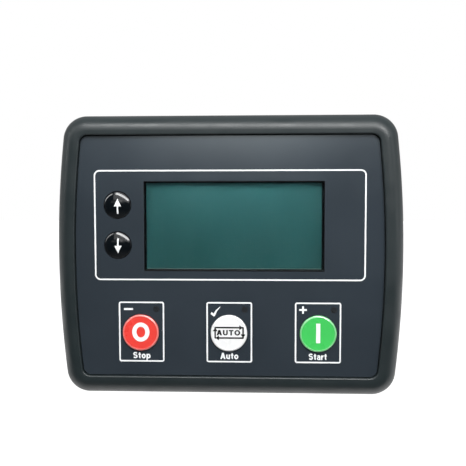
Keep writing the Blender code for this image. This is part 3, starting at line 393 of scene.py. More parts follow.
def circle(x, z, radius, steps):
    return [
        (x + radius * math.cos(math.tau * i / steps), z + radius * math.sin(math.tau * i / steps))
        for i in range(steps)
    ]


def rectangle(x, z, width, height):
    w, h = width / 2, height / 2
    return [(x - w, z - h), (x + w, z - h), (x + w, z + h), (x - w, z + h)]


def rounded_rectangle(x, z, width, height, radius, steps=EDGE_STEPS):
    points = []
    for corner, (sx, sz) in enumerate(((1, 1), (-1, 1), (-1, -1), (1, -1))):
        for i in range(steps + 1):
            angle = math.pi / 2 * (corner + i / steps)
            px = x + sx * (width / 2 - radius) + radius * math.cos(angle)
            points.append((px, z + sz * (height / 2 - radius) + radius * math.sin(angle)))
    return points


def centred(half_width, half_height, radius):
    """A rounded rectangle round the origin."""
    return rounded_rectangle(0, 0, 2 * half_width, 2 * half_height, radius)


def bowed_outline(inset, corner_radius):
    """The bezel's outline moved in by inset: bowed sides, straight top and bottom, round corners."""
    centre_x = BEZEL_WIDTH / 2 - SIDE_RADIUS
    side_radius = SIDE_RADIUS - inset
    fillet_z = BEZEL_HEIGHT / 2 - inset - corner_radius
    fillet_x = centre_x + math.sqrt((side_radius - corner_radius) ** 2 - fillet_z**2)
    start = math.atan2(fillet_z, fillet_x - centre_x)
    quarter = []
    for i in range(SIDE_STEPS // 2):
        angle = start * i / (SIDE_STEPS // 2)
        quarter.append((centre_x + side_radius * math.cos(angle), side_radius * math.sin(angle)))
    for i in range(CORNER_STEPS + 1):
        angle = start + (math.pi / 2 - start) * i / CORNER_STEPS
        x = fillet_x + corner_radius * math.cos(angle)
        quarter.append((x, fillet_z + corner_radius * math.sin(angle)))
    left = [(-x, z) for x, z in reversed(quarter)]
    lower = [(x, -z) for x, z in reversed((quarter + left)[1:-1])]
    return quarter + left + lower


def corner_at(inset):
    """The corner radius of the bezel's outline moved in by inset."""
    share = min(inset / FRAME_WIDTH, 1)
    return CORNER_RADIUS + (FRAME_INNER_CORNER - CORNER_RADIUS) * share


def at_depth(outline, y):
    return [Vector((x, y, z)) for x, z in outline]


def add_loft(bm, loops, closed=False):
    rings = [[bm.verts.new(point) for point in loop] for loop in loops]
    pairs = list(zip(rings, rings[1:]))
    if closed:
        pairs.append((rings[-1], rings[0]))
    else:
        bm.faces.new(rings[0])
        bm.faces.new(rings[-1])
    for first, second in pairs:
        for i, vert in enumerate(first):
            j = (i + 1) % len(first)
            bm.faces.new((vert, first[j], second[j], second[i]))


def add_levels(bm, levels, closed=False):
    """A body through outlines at depths, given as (outline, y)."""
    add_loft(bm, [at_depth(outline, y) for outline, y in levels], closed)


def add_prism(bm, outline, y0, y1):
    add_levels(bm, ((outline, y0), (outline, y1)))


def add_ring(bm, outer, inner, y0, y1):
    add_levels(bm, ((outer, y0), (outer, y1), (inner, y1), (inner, y0)), closed=True)


def add_box(bm, x0, x1, y0, y1, z0, z1):
    add_prism(bm, [(x0, z0), (x1, z0), (x1, z1), (x0, z1)], y0, y1)


def add_turned(bm, x, z, profile, steps):
    """A body turned about an axis along Y. The profile is (radius, y), and its ends lie on the axis."""
    rings = [[bm.verts.new(p) for p in at_depth(circle(x, z, r, steps), y)] for r, y in profile[1:-1]]
    ends = [bm.verts.new((x, y, z)) for _, y in (profile[0], profile[-1])]
    for i in range(steps):
        j = (i + 1) % steps
        bm.faces.new((ends[0], rings[0][i], rings[0][j]))
        bm.faces.new((ends[1], rings[-1][j], rings[-1][i]))
        for first, second in zip(rings, rings[1:]):
            bm.faces.new((first[i], first[j], second[j], second[i]))


def built(add, *values):
    """A new mesh with what add makes of the values."""
    bm = bmesh.new()
    add(bm, *values)
    return bm


def cross(arm, half):
    """A plus sign, its arms twice half wide."""
    quarter = [(-half, -arm), (half, -arm), (half, -half)]
    points = []
    for _ in range(4):
        points += quarter
        quarter = [(-z, x) for x, z in quarter]
    return points


def rounded(points, radius, steps=4):
    """A (radius, y) profile with each inner corner rounded off."""
    result = [points[0]]
    for before, corner, after in zip(points, points[1:], points[2:]):
        corner = Vector(corner)
        to_before, to_after = Vector(before) - corner, Vector(after) - corner
        reach = min(radius, to_before.length * 0.45, to_after.length * 0.45)
        start = corner + to_before.normalized() * reach
        end = corner + to_after.normalized() * reach
        for i in range(steps + 1):
            t = i / steps
            result.append(tuple(start.lerp(corner, t).lerp(corner.lerp(end, t), t)))
    return result + [points[-1]]


def shade(mesh, angle=SHARP_ANGLE):
    """Smooth shading, but for edges sharper than the angle in degrees."""
    mesh.shade_smooth()
    mesh.set_sharp_from_angle(angle=math.radians(angle))


def linked(name, data):
    """A new object in the scene."""
    obj = bpy.data.objects.new(name, data)
    bpy.context.scene.collection.objects.link(obj)
    return obj


def finish_object(name, bm, finish=None, smooth_angle=SHARP_ANGLE):
    bmesh.ops.recalc_face_normals(bm, faces=bm.faces)
    mesh = bpy.data.meshes.new(name)
    bm.to_mesh(mesh)
    bm.free()
    shade(mesh, smooth_angle)
    if finish:
        mesh.materials.append(FINISHES[finish])
    return linked(name, mesh)


def cut(target, bm, operation="DIFFERENCE"):
    """Joins or cuts with a body that is then thrown away."""
    tool = finish_object("tool", bm)
    modifier = target.modifiers.new("cut", "BOOLEAN")
    modifier.operation = operation
    modifier.solver = "EXACT"
    modifier.object = tool
    bake_modifiers(target)
    bpy.data.objects.remove(tool, do_unlink=True)
    merge_close(target)
    shade(target.data)


def merge_close(obj):
    """Merges the near-coincident points and slivers that a cut can leave."""
    bm = bmesh.new()
    bm.from_mesh(obj.data)
    bmesh.ops.remove_doubles(bm, verts=bm.verts, dist=MERGE_DISTANCE)
    bmesh.ops.dissolve_degenerate(bm, dist=MERGE_DISTANCE, edges=bm.edges)
    bm.to_mesh(obj.data)
    bm.free()


def bake_modifiers(obj):
    bpy.context.view_layer.update()
    evaluated = obj.evaluated_get(bpy.context.evaluated_depsgraph_get())
    mesh = bpy.data.meshes.new_from_object(evaluated)
    obj.modifiers.clear()
    obj.data = mesh


def soften(obj, width):
    """Rounds the sharp edges of a moulded piece."""
    modifier = obj.modifiers.new("soften", "BEVEL")
    modifier.width = width
    modifier.segments = 2
    modifier.limit_method = "ANGLE"
    modifier.angle_limit = math.radians(40)
    bake_modifiers(obj)
    shade(obj.data, SOFT_ANGLE)


def place(obj, body, slot, *replaced):
    """Puts a finished piece on its body, in the place of the CAD nodes that it replaces. The slot is not
    used.
    """
    modifier = obj.modifiers.new("normals", "WEIGHTED_NORMAL")
    modifier.keep_sharp = True
    modifier.weight = 100
    bake_modifiers(obj)
    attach(obj, body)
    if replaced:
        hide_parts(*replaced)


def put(name, bm, slot, *replaced, finish=None, body="housing"):
    """Makes and places a piece, in its slot's own finish unless another is given."""
    place(finish_object(name, bm, finish or slot), body, slot, *replaced)


# Finishes, by the slot of the record that they belong to
METAL = dict(Metallic=1.0)
GLOSSY_CAP = dict(
    roughness=0.30, grain=4200, bump=0.12, roughness_spread=0.04, Coat_Weight=1.0, Coat_Roughness=0.12
)
# The moulded edge of a coloured cap is painted pale: a painted highlight along its rim
CAP_WITH_PAINTED_RIM = dict(wear=0.7, worn_from=0.500, worn_to=0.515, **GLOSSY_CAP)

FINISH_VALUES = {
    "bezel_plastic": dict(
        color=(0.0160, 0.0232, 0.0252), roughness=0.40, grain=3800, bump=0.35, patchiness=0.06, wear=0.35,
        wear_color=(0.04, 0.045, 0.045),
    ),
    "case_plastic": dict(
        color=(0.030, 0.031, 0.033), roughness=0.5, grain=2600, bump=0.5, bump_depth=0.00003, wear=0.4
    ),
    "overlay_film": dict(
        color=(0.028, 0.037, 0.047), roughness=0.24, grain=5200, bump=0.12, patch=28, patchiness=0.08,
        roughness_spread=0.02, form=film_dish, Specular_IOR_Level=0.9, Specular_Tint=(0.88, 0.97, 1.0, 1.0),
    ),
    "gasket_foam": dict(
        color=(0.018, 0.018, 0.019), roughness=0.92, grain=1800, bump=0.9, bump_depth=0.0002, patchiness=0.3
    ),
    "frame_black": dict(
        color=(0.004, 0.008, 0.010), roughness=0.42, grain=3000, patchiness=0.15, Specular_IOR_Level=0.2
    ),
    "diffuser_white": dict(color=(0.75, 0.80, 0.75), roughness=0.6),
    # The pale rim colours of the red and green caps are painted highlights
    "stop_red": dict(
        color=(0.84, 0.060, 0.047), patchiness=0.04, wear_color=(0.93, 0.36, 0.33), **CAP_WITH_PAINTED_RIM
    ),
    "auto_white": dict(color=(0.91, 0.92, 0.92), patchiness=0.02, **GLOSSY_CAP),
    "start_green": dict(
        color=(0.062, 0.590, 0.118), patchiness=0.05, wear_color=(0.42, 0.80, 0.48), **CAP_WITH_PAINTED_RIM
    ),
    "gloss_black": dict(
        color=(0.003, 0.0045, 0.006), roughness=0.09, grain=900, bump=0.05, patchiness=0.2,
        roughness_spread=0.03,
    ),
    "plunger_white": dict(color=(0.70, 0.70, 0.66), roughness=0.5),
    "switch_black": dict(color=(0.02, 0.02, 0.02), roughness=0.5, bump=0.5),
    "led_lens": dict(color=(0.65, 0.60, 0.55), roughness=0.25),
    "board_green": dict(color=(0.010, 0.110, 0.035), roughness=0.35, grain=600, patch=300, patchiness=0.25),
    "screw_steel": dict(
        color=(0.62, 0.61, 0.59), roughness=0.28, grain=2400, bump=0.15, patch=400, patchiness=0.1, **METAL
    ),
    "terminal_green": dict(
        color=(0.018, 0.245, 0.095), roughness=0.42, grain=2200, bump=0.3, patchiness=0.06, wear=0.3
    ),
    "relay_blue": dict(color=(0.02, 0.10, 0.35), roughness=0.4),
    "can_metal": dict(color=(0.6, 0.6, 0.62), roughness=0.35, **METAL),
    "socket_metal": dict(
        color=(0.66, 0.66, 0.65), roughness=0.24, grain=1600, patch=250, stretch=(1, 6, 1), **METAL
    ),
    "clear_plastic": dict(
        color=(0.93, 0.97, 0.97), roughness=0.05, grain=700, bump=0.02, patchiness=0.01,
        roughness_spread=0.02, Transmission_Weight=1.0, IOR=1.46,
    ),
    # Finishes of pieces that take the slot of another finish
    "white_print": dict(color=(0.91, 0.93, 0.94), roughness=0.4, grain=6000, bump=0.15, patchiness=0.03),
    # Black ink for the print, also used as painted shade round the display window
    "black_print": dict(
        color=(0.006, 0.006, 0.006), roughness=0.35, grain=6000, bump=0.15, patchiness=0.2,
        Specular_IOR_Level=0.15,
    ),
    "lamp_spot": dict(color=(0.020, 0.023, 0.026), roughness=0.28, grain=5200, bump=0.2, patchiness=0.15),
    # A painted highlight: the pale colour of the strip along the display's bottom edge
    "display_edge": dict(color=(0.17, 0.26, 0.26), roughness=0.4, patchiness=0.05),
    "tongue_black": dict(color=(0.02, 0.02, 0.022), roughness=0.4),
    "contact_gold": dict(color=(0.83, 0.62, 0.25), roughness=0.25, **METAL),
}
FINISHES = {name: surface(name, **values) for name, values in FINISH_VALUES.items()}

# The display's colours: lighter towards the top as painted light, darker at the sides as painted shade
LCD_LOW, LCD_PAINTED_LIGHT_TOP = (0.038, 0.140, 0.139), (0.086, 0.302, 0.312)
LCD_PAINTED_SHADE_SIDES, LCD_BANDS = (0.043, 0.152, 0.153), (0.058, 0.212, 0.217)
DOT_PITCH, DOT_GAP = 0.0005, 0.00005


def display_finish():
    """Unlit display: blue-green, with painted light making it lighter towards the top and painted shade
    darkening its sides, soft vertical bands and a fine dot grid.
    """
    material, tree, shader = principled("lcd_teal")
    axes = axes_of(tree)
    x, z, width, height = WINDOW
    up = spread(tree, axes["Z"], 0.0, 1.0, z - height / 2, z + height / 2)
    # Painted light: lighter towards the top
    tint = mixed(tree, computed(tree, "POWER", up, 2.0), LCD_LOW, LCD_PAINTED_LIGHT_TOP)
    side = computed(tree, "ABSOLUTE", computed(tree, "SUBTRACT", axes["X"], x))
    # Painted shade: darker towards the sides
    tint = mixed(tree, spread(tree, side, 0.0, 0.55, width * 0.2, width * 0.5), tint, LCD_PAINTED_SHADE_SIDES)
    bands = noise(tree, 60.0, 2.0, (1, 1, 0.15))
    tint = mixed(tree, spread(tree, bands, 0.0, 0.25), tint, LCD_BANDS)
    turn = node(tree, "Mapping", Vector=coordinates(tree), Rotation=(math.pi / 2, 0, 0)).outputs["Vector"]
    grid = {"Brick_Width": DOT_PITCH, "Row_Height": DOT_PITCH, "Mortar_Size": DOT_GAP}
    dots = node(tree, "TexBrick", Vector=turn, Scale=1.0, offset=0.0, **grid)
    relief = node(tree, "Bump", Strength=0.1, Distance=0.00001, Height=dots.outputs["Fac"])
    smudge = spread(tree, noise(tree, 120.0, 4.0), 0.16, 0.26)
    give(shader, Base_Color=tint, Roughness=smudge, Normal=relief.outputs["Normal"])
    return material


FINISHES["lcd_teal"] = display_finish()


# Housing


def frame_profile():
    """(inset, y) from the plate's front over the rolled frame to the plate's back."""
    crest_y = -BEZEL_DEPTH
    lip, lip_depth, brow, rounding = 0.00037, 0.00020, 0.00003, 0.00009
    wall_y = crest_y + brow + lip_depth
    profile = [(FRAME_WIDTH, PLATE_FRONT), (FRAME_WIDTH, wall_y)]
    profile += [(FRAME_WIDTH - lip, wall_y - lip_depth), (FRAME_CREST, crest_y)]
    profile = rounded(profile, rounding, 3)[:-1]
    rise = BEZEL_DEPTH - FRAME_SIDE_HEIGHT
    for i in range(ROLL_STEPS + 1):
        angle = math.pi / 2 * (1 - i / ROLL_STEPS)
        inset = FRAME_CREST * (1 - math.cos(angle))
        profile.append((inset, -FRAME_SIDE_HEIGHT - rise * math.sin(angle)))
    profile += [(0, -RIM_CHAMFER * 1.5), (RIM_CHAMFER * 0.3, -RIM_CHAMFER * 0.3), (RIM_CHAMFER * 1.5, 0)]
    profile += [(RIM_WIDTH, 0), (RIM_WIDTH, PLATE_BACK + PLATE_FILLET)]
    profile.append((RIM_WIDTH + PLATE_FILLET, PLATE_BACK))
    return profile


def add_front_openings(bm, y0, y1, clearance):
    for x in COMMANDS.values():
        add_prism(bm, circle(x, COMMAND_Z, COMMAND_RADIUS + clearance, HOLE_STEPS), y0, y1)
    for z in NAVS.values():
        add_prism(bm, circle(NAV_X, z, NAV_RADIUS + clearance, HOLE_STEPS), y0, y1)


def add_lamp_spots(bm, radius, y0, y1):
    for x in COMMANDS.values():
        add_prism(bm, circle(x + LIGHT_X, COMMAND_Z + LIGHT_Z, radius, SMALL_STEPS), y0, y1)


def add_bosses(bm, y0, y1):
    for x, z in SCREW_PLACES:
        add_prism(bm, circle(x, z, BOSS_RADIUS, SMALL_STEPS), y0, y1)


def make_bezel():
    shell = built(add_levels, [(bowed_outline(d, corner_at(d)), y) for d, y in frame_profile()])
    bezel = finish_object("bezel_shell", shell, "bezel_plastic")
    start = PLATE_BACK - JOIN_OVERLAP
    width, height = CASE_HALF_WIDTH - CASE_WALL - GAP, CASE_HALF_HEIGHT - CASE_WALL - GAP
    outer = centred(width, height, CASE_CORNER / 2)
    inner = centred(width - SPIGOT_THICKNESS, height - SPIGOT_THICKNESS, CASE_CORNER / 4)
    cut(bezel, built(add_ring, outer, inner, start, PLATE_BACK + SPIGOT_LENGTH), "UNION")
    cut(bezel, built(add_bosses, start, BOSS_MEET - GAP), "UNION")
    front, back = PLATE_FRONT - CUT_REACH, PLATE_BACK + CUT_REACH
    bm = built(add_prism, rectangle(*WINDOW), front, back)
    add_front_openings(bm, front, back, BUTTON_CLEARANCE)
    add_lamp_spots(bm, LIGHT_RADIUS + GAP, front, back)
    cut(bezel, bm)
    x, z, width, height = WINDOW
    rebate = 2 * (PANE_BORDER + GAP)
    cut(bezel, built(add_prism, rectangle(x, z, width + rebate, height + rebate), PANE_FRONT - GAP, back))
    place(bezel, "housing", "bezel_plastic", "front_bezel")


def make_film():
    levels = []
    for inset, y in ((FILM_EDGE, OVERLAY_FRONT), (0, OVERLAY_FRONT + FILM_EDGE), (0, OVERLAY_BACK)):
        d = FRAME_WIDTH + GAP + inset
        levels.append((bowed_outline(d, corner_at(d) - GAP), y))
    film = finish_object("fascia_film", built(add_levels, levels), "overlay_film")
    front, back = OVERLAY_FRONT - CUT_REACH / 2, OVERLAY_BACK + CUT_REACH / 2
    bm = built(add_prism, rounded_rectangle(*WINDOW, WINDOW_CORNER, 4), front, back)
    add_front_openings(bm, front, back, FILM_CLEARANCE)
    cut(film, bm)
    place(film, "housing", "overlay_film", "fascia_overlay")
    bm = built(add_lamp_spots, LIGHT_RADIUS, *about(OVERLAY_FRONT, INK_THICKNESS))
    put("lamp_spots", bm, "overlay_film", finish="lamp_spot")


def make_gasket():
    inset = RIM_WIDTH + GAP
    seal = built(add_prism, bowed_outline(inset, corner_at(inset)), -GASKET_THICKNESS, 0)
    gasket = finish_object("panel_seal", seal, "gasket_foam")
    hole = centred(CASE_HALF_WIDTH + CUTOUT_CLEARANCE, CASE_HALF_HEIGHT + CUTOUT_CLEARANCE, CASE_CORNER)
    cut(gasket, built(add_prism, hole, -2 * GASKET_THICKNESS, GASKET_THICKNESS))
    place(gasket, "housing", "gasket_foam", "panel_gasket")


def make_display():
    x, z, width, height = WINDOW
    low, high = z - height / 2, z + height / 2

    def grown(margin):
        """The window's outline, moved out by the margin."""
        return rectangle(x, z, width + 2 * margin, height + 2 * margin)

    def field(margin):
        """The outline of the visible field, moved out by the margin."""
        left, right = x - width / 2 + FIELD_LEFT, x + width / 2 - FIELD_RIGHT
        bottom, top = low + FIELD_BOTTOM, high - FIELD_TOP
        centre = ((left + right) / 2, (bottom + top) / 2)
        return rectangle(*centre, right - left + 2 * margin, top - bottom + 2 * margin)

    pane, chamfered = grown(PANE_BORDER), grown(PANE_BORDER - PANE_EDGE)
    levels = ((chamfered, PANE_FRONT), (pane, PANE_FRONT + PANE_EDGE), (pane, PLATE_BACK))
    put("display_pane", built(add_levels, levels), "clear_plastic", "display_window")

    back, lip_y = DISPLAY_BOARD_FRONT - GAP, LCD_FRAME_FRONT + LCD_WALL
    outside, inside = grown(LCD_MARGIN), grown(LCD_MARGIN - LCD_WALL)
    levels = (
        (outside, LCD_FRAME_FRONT), (outside, back), (inside, back), (inside, lip_y), (field(0), lip_y),
        (field(0), LCD_FRAME_FRONT + SURROUND_EDGE), (field(SURROUND_EDGE), LCD_FRAME_FRONT),
    )
    put("display_surround", built(add_levels, levels, True), "frame_black", "lcd_frame")

    (x0, glass_front, z0), (x1, glass_back, z1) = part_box("lcd_glass")
    whole, raised = [(x0, z0), (x1, z0), (x1, z1), (x0, z1)], field(-CELL_CLEARANCE)
    face_y = LCD_FRAME_FRONT + CELL_SINK
    levels = ((whole, glass_back), (whole, glass_front), (raised, glass_front), (raised, face_y))
    put("display_cell", built(add_levels, levels), "lcd_teal", "lcd_glass")

    # A pale strip along the bottom edge of the field: a painted highlight
    (left, bottom), (right, _) = raised[:2]
    ends = (left + HIGHLIGHT_STRIP_INSET, right - HIGHLIGHT_STRIP_INSET)
    strip = built(add_box, *ends, face_y - 4 * HAIR, face_y - HAIR, bottom, bottom + HIGHLIGHT_STRIP_HEIGHT)
    put("display_edge", strip, "diffuser_white", finish="display_edge")
    # Painted shade: the window's walls are lined black and a black line lies under its bottom edge, where the
    # recess is in shadow
    inner = grown(-HAIR - SHADE_LINING)
    lining = built(add_ring, grown(-HAIR), inner, OVERLAY_FRONT + 2 * HAIR, PANE_FRONT - 3 * HAIR)
    put_print("window_lining", lining, "black_print")
    line = rectangle(x, low - SHADE_LINE_HEIGHT / 2, width + 20 * HAIR, SHADE_LINE_HEIGHT)
    put_print("window_line", built(add_mark, line, OVERLAY_FRONT), "black_print")


# Buttons


def cap_back(radius, face_y):
    """The hidden part of a cap: skirt, flange, hollow and stem."""
    roof = face_y + CAP_ROOF
    stem = PLUNGER_FRONT - GAP
    inner = radius - CAP_WALL
    flange = radius + FLANGE_WIDTH
    return [
        (radius, FLANGE_FRONT), (flange, FLANGE_FRONT), (flange, FLANGE_BACK), (inner, FLANGE_BACK),
        (inner, roof), (STEM_RADIUS, roof), (STEM_RADIUS, stem), (0, stem),
    ]


def command_profile():
    """A flat printed face inside a low rim, whose slopes catch the light."""
    radius = COMMAND_RADIUS - CAP_INSET
    front = [(0, COMMAND_FACE), (radius - FACE_INSET, COMMAND_FACE)]
    front += [(radius - inset, COMMAND_TOP + depth) for inset, depth in COMMAND_RIM]
    return rounded(front, RIM_ROUNDING) + cap_back(radius, COMMAND_FACE)


def dome_y(radius):
    """The dome's surface: part of a sphere, on a short straight edge."""
    sphere = (DOME_RADIUS**2 + NAV_DOME**2) / (2 * NAV_DOME)
    return OVERLAY_FRONT - NAV_DOME + sphere - math.sqrt(sphere**2 - radius**2)


def nav_profile():
    edge = DOME_RADIUS * DOME_SHARE
    radii = [DOME_RADIUS * i / DOME_STEPS for i in range(DOME_STEPS)] + [edge]
    front = [(radius, dome_y(radius)) for radius in radii]
    front.append((DOME_RADIUS, dome_y(DOME_RADIUS) + DOME_ROUNDING))
    return front + cap_back(DOME_RADIUS, OVERLAY_FRONT)


def make_buttons():
    slots = {"stop": "stop_red", "auto": "auto_white", "start": "start_green"}
    caps = [(name, "cap", x, COMMAND_Z, command_profile, slots[name]) for name, x in COMMANDS.items()]
    caps += [(name, "dome", NAV_X, z, nav_profile, "gloss_black") for name, z in NAVS.items()]
    for name, kind, x, z, profile, slot in caps:
        bm = built(add_turned, x, z, profile(), CAP_STEPS)
        cap = finish_object(f"{name}_{kind}", bm, slot, CAP_ANGLE)
        place(cap, f"{name}_key", slot, f"{name}_button")


# Printing


def add_mark(bm, outline, y):
    """A printed shape, a hair thicker than the surface that it lies on at y."""
    add_prism(bm, outline, *about(y, INK_THICKNESS))


def add_ring_mark(bm, outer, inner, y):
    add_ring(bm, outer, inner, *about(y, INK_THICKNESS))


def put_print(name, bm, ink, body="housing"):
    """Makes and places a thin inked piece in the finish of its ink, for print and for painted shade."""
    put(name, bm, PRINT_SLOTS[ink], finish=ink, body=body)


def moved(points, x, z):
    return [(x + px, z + pz) for px, pz in points]


def add_line_box(bm, x, z, width, height, radius, y):
    outer = rounded_rectangle(x, z, width, height, radius)
    inner = rounded_rectangle(x, z, width - 2 * LINE, height - 2 * LINE, max(radius - LINE, 5 * HAIR))
    add_ring_mark(bm, outer, inner, y)


def ellipse(x, z, width, height, steps=48):
    return arc(x, z, width, height, 0, 360 - 360 / steps, steps - 1)


def arc(x, z, width, height, start, end, steps=10):
    """Points along part of an ellipse, with the angles in degrees."""
    angles = [math.radians(start + (end - start) * i / steps) for i in range(steps + 1)]
    return [(x + width / 2 * math.cos(a), z + height / 2 * math.sin(a)) for a in angles]


def thick(path, weight):
    """The outline of a stroke of even weight along a path."""
    left, right = [], []
    for i, point in enumerate(path):
        before = Vector(path[max(i - 1, 0)])
        after = Vector(path[min(i + 1, len(path) - 1)])
        side = (after - before).orthogonal().normalized() * weight / 2
        left.append(tuple(Vector(point) + side))
        right.append(tuple(Vector(point) - side))
    return left + right[::-1]


def letter(char, w):
    """A plain letter one unit high with strokes w wide: its width, its shapes and its rings.

    A shape is an outline. A ring is (x, z, width, height, stroke).
    """
    small, mid = 0.72, 0.36
    h = w / 2
    if char == "S":
        z1, z2 = 1 - h, h
        middle = 0.52
        upper = arc(0.33, (z1 + middle) / 2, 0.46, z1 - middle, 22, 270, 16)
        lower = arc(0.33, (middle + z2) / 2, 0.48, middle - z2, 90, -158, 16)
        return 0.68, [thick(upper + lower[1:], w)], []
    if char == "t":
        foot = arc(0.11 + h + 0.13, 0.13 + h, 0.26, 0.26, 180, 268)
        bar = rectangle(0.21, small - w * 0.38, 0.42, w * 0.76)
        return 0.42, [thick([(0.11 + h, 0.93)] + foot, w), bar], []
    if char == "o":
        return 0.64, [], [(0.32, mid, 0.64, small + 0.03, w)]
    if char == "p":
        stem = rectangle(h, (small - 0.28) / 2, w, small + 0.28)
        return 0.64, [stem], [(0.33, mid, 0.62, small + 0.03, w)]
    if char == "u":
        bowl = arc(0.29, 0.30, 0.58 - w, 0.60 - w, 180, 340)
        stem = rectangle(0.58 - h, small / 2, w, small)
        return 0.60, [thick([(h, small)] + bowl, w), stem], []
    if char == "r":
        stem = rectangle(h, small / 2, w, small)
        return 0.40, [stem, thick(arc(0.37, 0.30, 0.40, 0.88 - w, 160, 84), w)], []
    if char == "a":
        hook = arc(0.29, 0.50, 0.58 - w, 0.50 - w, 165, 0) + [(0.58 - h, 0)]
        return 0.58, [thick(hook, w)], [(0.27, 0.225, 0.54, 0.48, w * 0.75)]
    if char == "A":
        top = w * 0.62
        legs = [[(0, 0), (w * 1.15, 0), (0.40 + top, 1), (0.40 - top, 1)]]
        legs.append([(0.80 - x, z) for x, z in legs[0]][::-1])
        return 0.80, legs + [rectangle(0.40, 0.20 + h, 0.42, w * 0.85)], []
    if char == "U":
        bowl = arc(0.35, 0.34, 0.70 - w, 0.68 - w, 180, 360, 16)
        return 0.72, [thick([(h, 1)] + bowl + [(0.70 - h, 1)], w)], []
    if char == "T":
        bar = rectangle(0.34, 1 - h, 0.68, w)
        return 0.68, [bar, rectangle(0.34, 0.5 - h / 2, w, 1 - w * 0.5)], []
    if char == "O":
        return 0.86, [], [(0.42, 0.5, 0.84, 1.03, w)]


def make_words(name, text, x, z, y, ink, body, cap_height, weight, gap, width):
    """Plain lettering as a thin solid, centred on x with its baseline at z."""
    letters = [letter(char, weight) for char in text]
    total = sum(part[0] for part in letters) + gap * (len(text) - 1)
    layers = []
    at = -total / 2

    def scaled_to(points):
        return [(x + width * cap_height * (at + px), z + cap_height * pz) for px, pz in points]

    def layer(count):
        """The body that takes a letter's shape of this number, since shapes of a letter overlap."""
        if count == len(layers):
            layers.append(bmesh.new())
        return layers[count]

    for advance, shapes, rings in letters:
        for count, (ring_x, ring_z, ring_width, ring_height, stroke) in enumerate(rings):
            outer = ellipse(ring_x, ring_z, ring_width, ring_height, 24)
            inner = ellipse(ring_x, ring_z, ring_width - 2 * stroke, ring_height - 2 * stroke, 24)
            add_ring_mark(layer(count), scaled_to(outer), scaled_to(inner), y)
        for count, shape in enumerate(shapes, len(rings)):
            add_mark(layer(count), scaled_to(shape), y)
        at += advance + gap
    words = finish_object(name, layers[0], ink)
    for bm in layers[1:]:
        cut(words, bm, "UNION")
    place(words, body, PRINT_SLOTS[ink])


def make_film_print():
    y = OVERLAY_FRONT
    bm = bmesh.new()
    height = PANEL_TOP - PANEL_BOTTOM
    add_line_box(bm, PANEL_X, (PANEL_TOP + PANEL_BOTTOM) / 2, PANEL_WIDTH, height, PANEL_CORNER, y)
    middle, height = (BOX_TOP + BOX_BOTTOM) / 2, BOX_TOP - BOX_BOTTOM
    for name, x in COMMANDS.items():
        add_line_box(bm, x + BOX_SHIFT[name], middle, BOX_WIDTH, height, BOX_CORNER, y)
    add_mark(bm, moved(rounded_rectangle(*MINUS, MINUS_CORNER, 3), COMMANDS["stop"], 0), y)
    add_mark(bm, moved(cross(PLUS_ARM, PLUS_HALF), COMMANDS["start"] + PLUS[0], PLUS[1]), y)
    add_mark(bm, moved(TICK, COMMANDS["auto"], 0), y)
    put_print("film_print", bm, "white_print")
    for name, text, width in WORDS:
        x = COMMANDS[name] + BOX_SHIFT[name]
        size = (WORD_HEIGHT, WORD_WEIGHT, WORD_GAP, width)
        make_words(f"{name}_word", text, x, WORD_Z, y, "white_print", "housing", *size)


def drape(bm, x, z):
    """Lays flat marks onto the dome round (x, z)."""
    for vert in bm.verts:
        reach = math.hypot(vert.co.x - x, vert.co.z - z)
        vert.co.y += dome_y(reach)


def make_cap_print():
    y, mark_z = COMMAND_FACE, COMMAND_Z + MARK_RISE
    x = COMMANDS["stop"] + STOP_SHIFT
    ring = built(add_ring_mark, ellipse(x, mark_z, *STOP_OUTER), ellipse(x, mark_z, *STOP_INNER), y)
    put_print("stop_mark", ring, "white_print", "stop_key")
    bar = built(add_mark, rectangle(COMMANDS["start"], mark_z, *START_BAR), y)
    put_print("start_mark", bar, "white_print", "start_key")

    x, z = COMMANDS["auto"] + AUTO_SHIFT, COMMAND_Z + AUTO_RISE
    bm = built(add_line_box, x, z, *AUTO_BOX, AUTO_CORNER, y)
    side_x, side_z = ((size - LINE) / 2 for size in AUTO_BOX)
    tips = (
        ((side_x - AUTO_HEAD_INSET, side_z), (1, 0)),
        ((side_x, -side_z + AUTO_HEAD_INSET), (0, -1)),
        ((-side_x + AUTO_HEAD_INSET, -side_z), (-1, 0)),
        ((-side_x, side_z - AUTO_HEAD_INSET), (0, 1)),
    )
    for (tip_x, tip_z), (dx, dz) in tips:
        back_x, back_z = tip_x - dx * AUTO_HEAD, tip_z - dz * AUTO_HEAD
        half_x, half_z = -dz * AUTO_HEAD_HALF, dx * AUTO_HEAD_HALF
        head = [(tip_x, tip_z), (back_x + half_x, back_z + half_z), (back_x - half_x, back_z - half_z)]
        add_prism(bm, moved(head, x, z), y - 1.5 * INK_THICKNESS, y + INK_THICKNESS)
    put_print("auto_mark", bm, "black_print", "auto_key")
    at = (x + AUTO_WORD_PLACE[0], z + AUTO_WORD_PLACE[1])
    make_words("auto_mark_word", "AUTO", *at, y, "black_print", "auto_key", *AUTO_WORD_SIZE)

    for name, z in NAVS.items():
        bm = built(add_arrow, 1 if name == "up" else -1)
        bmesh.ops.translate(bm, verts=bm.verts, vec=(NAV_X + ARROW_SHIFT, 0, z - ARROW_DROP[name]))
        drape(bm, NAV_X, z)
        put_print(f"{name}_arrow", bm, "white_print", f"{name}_key")


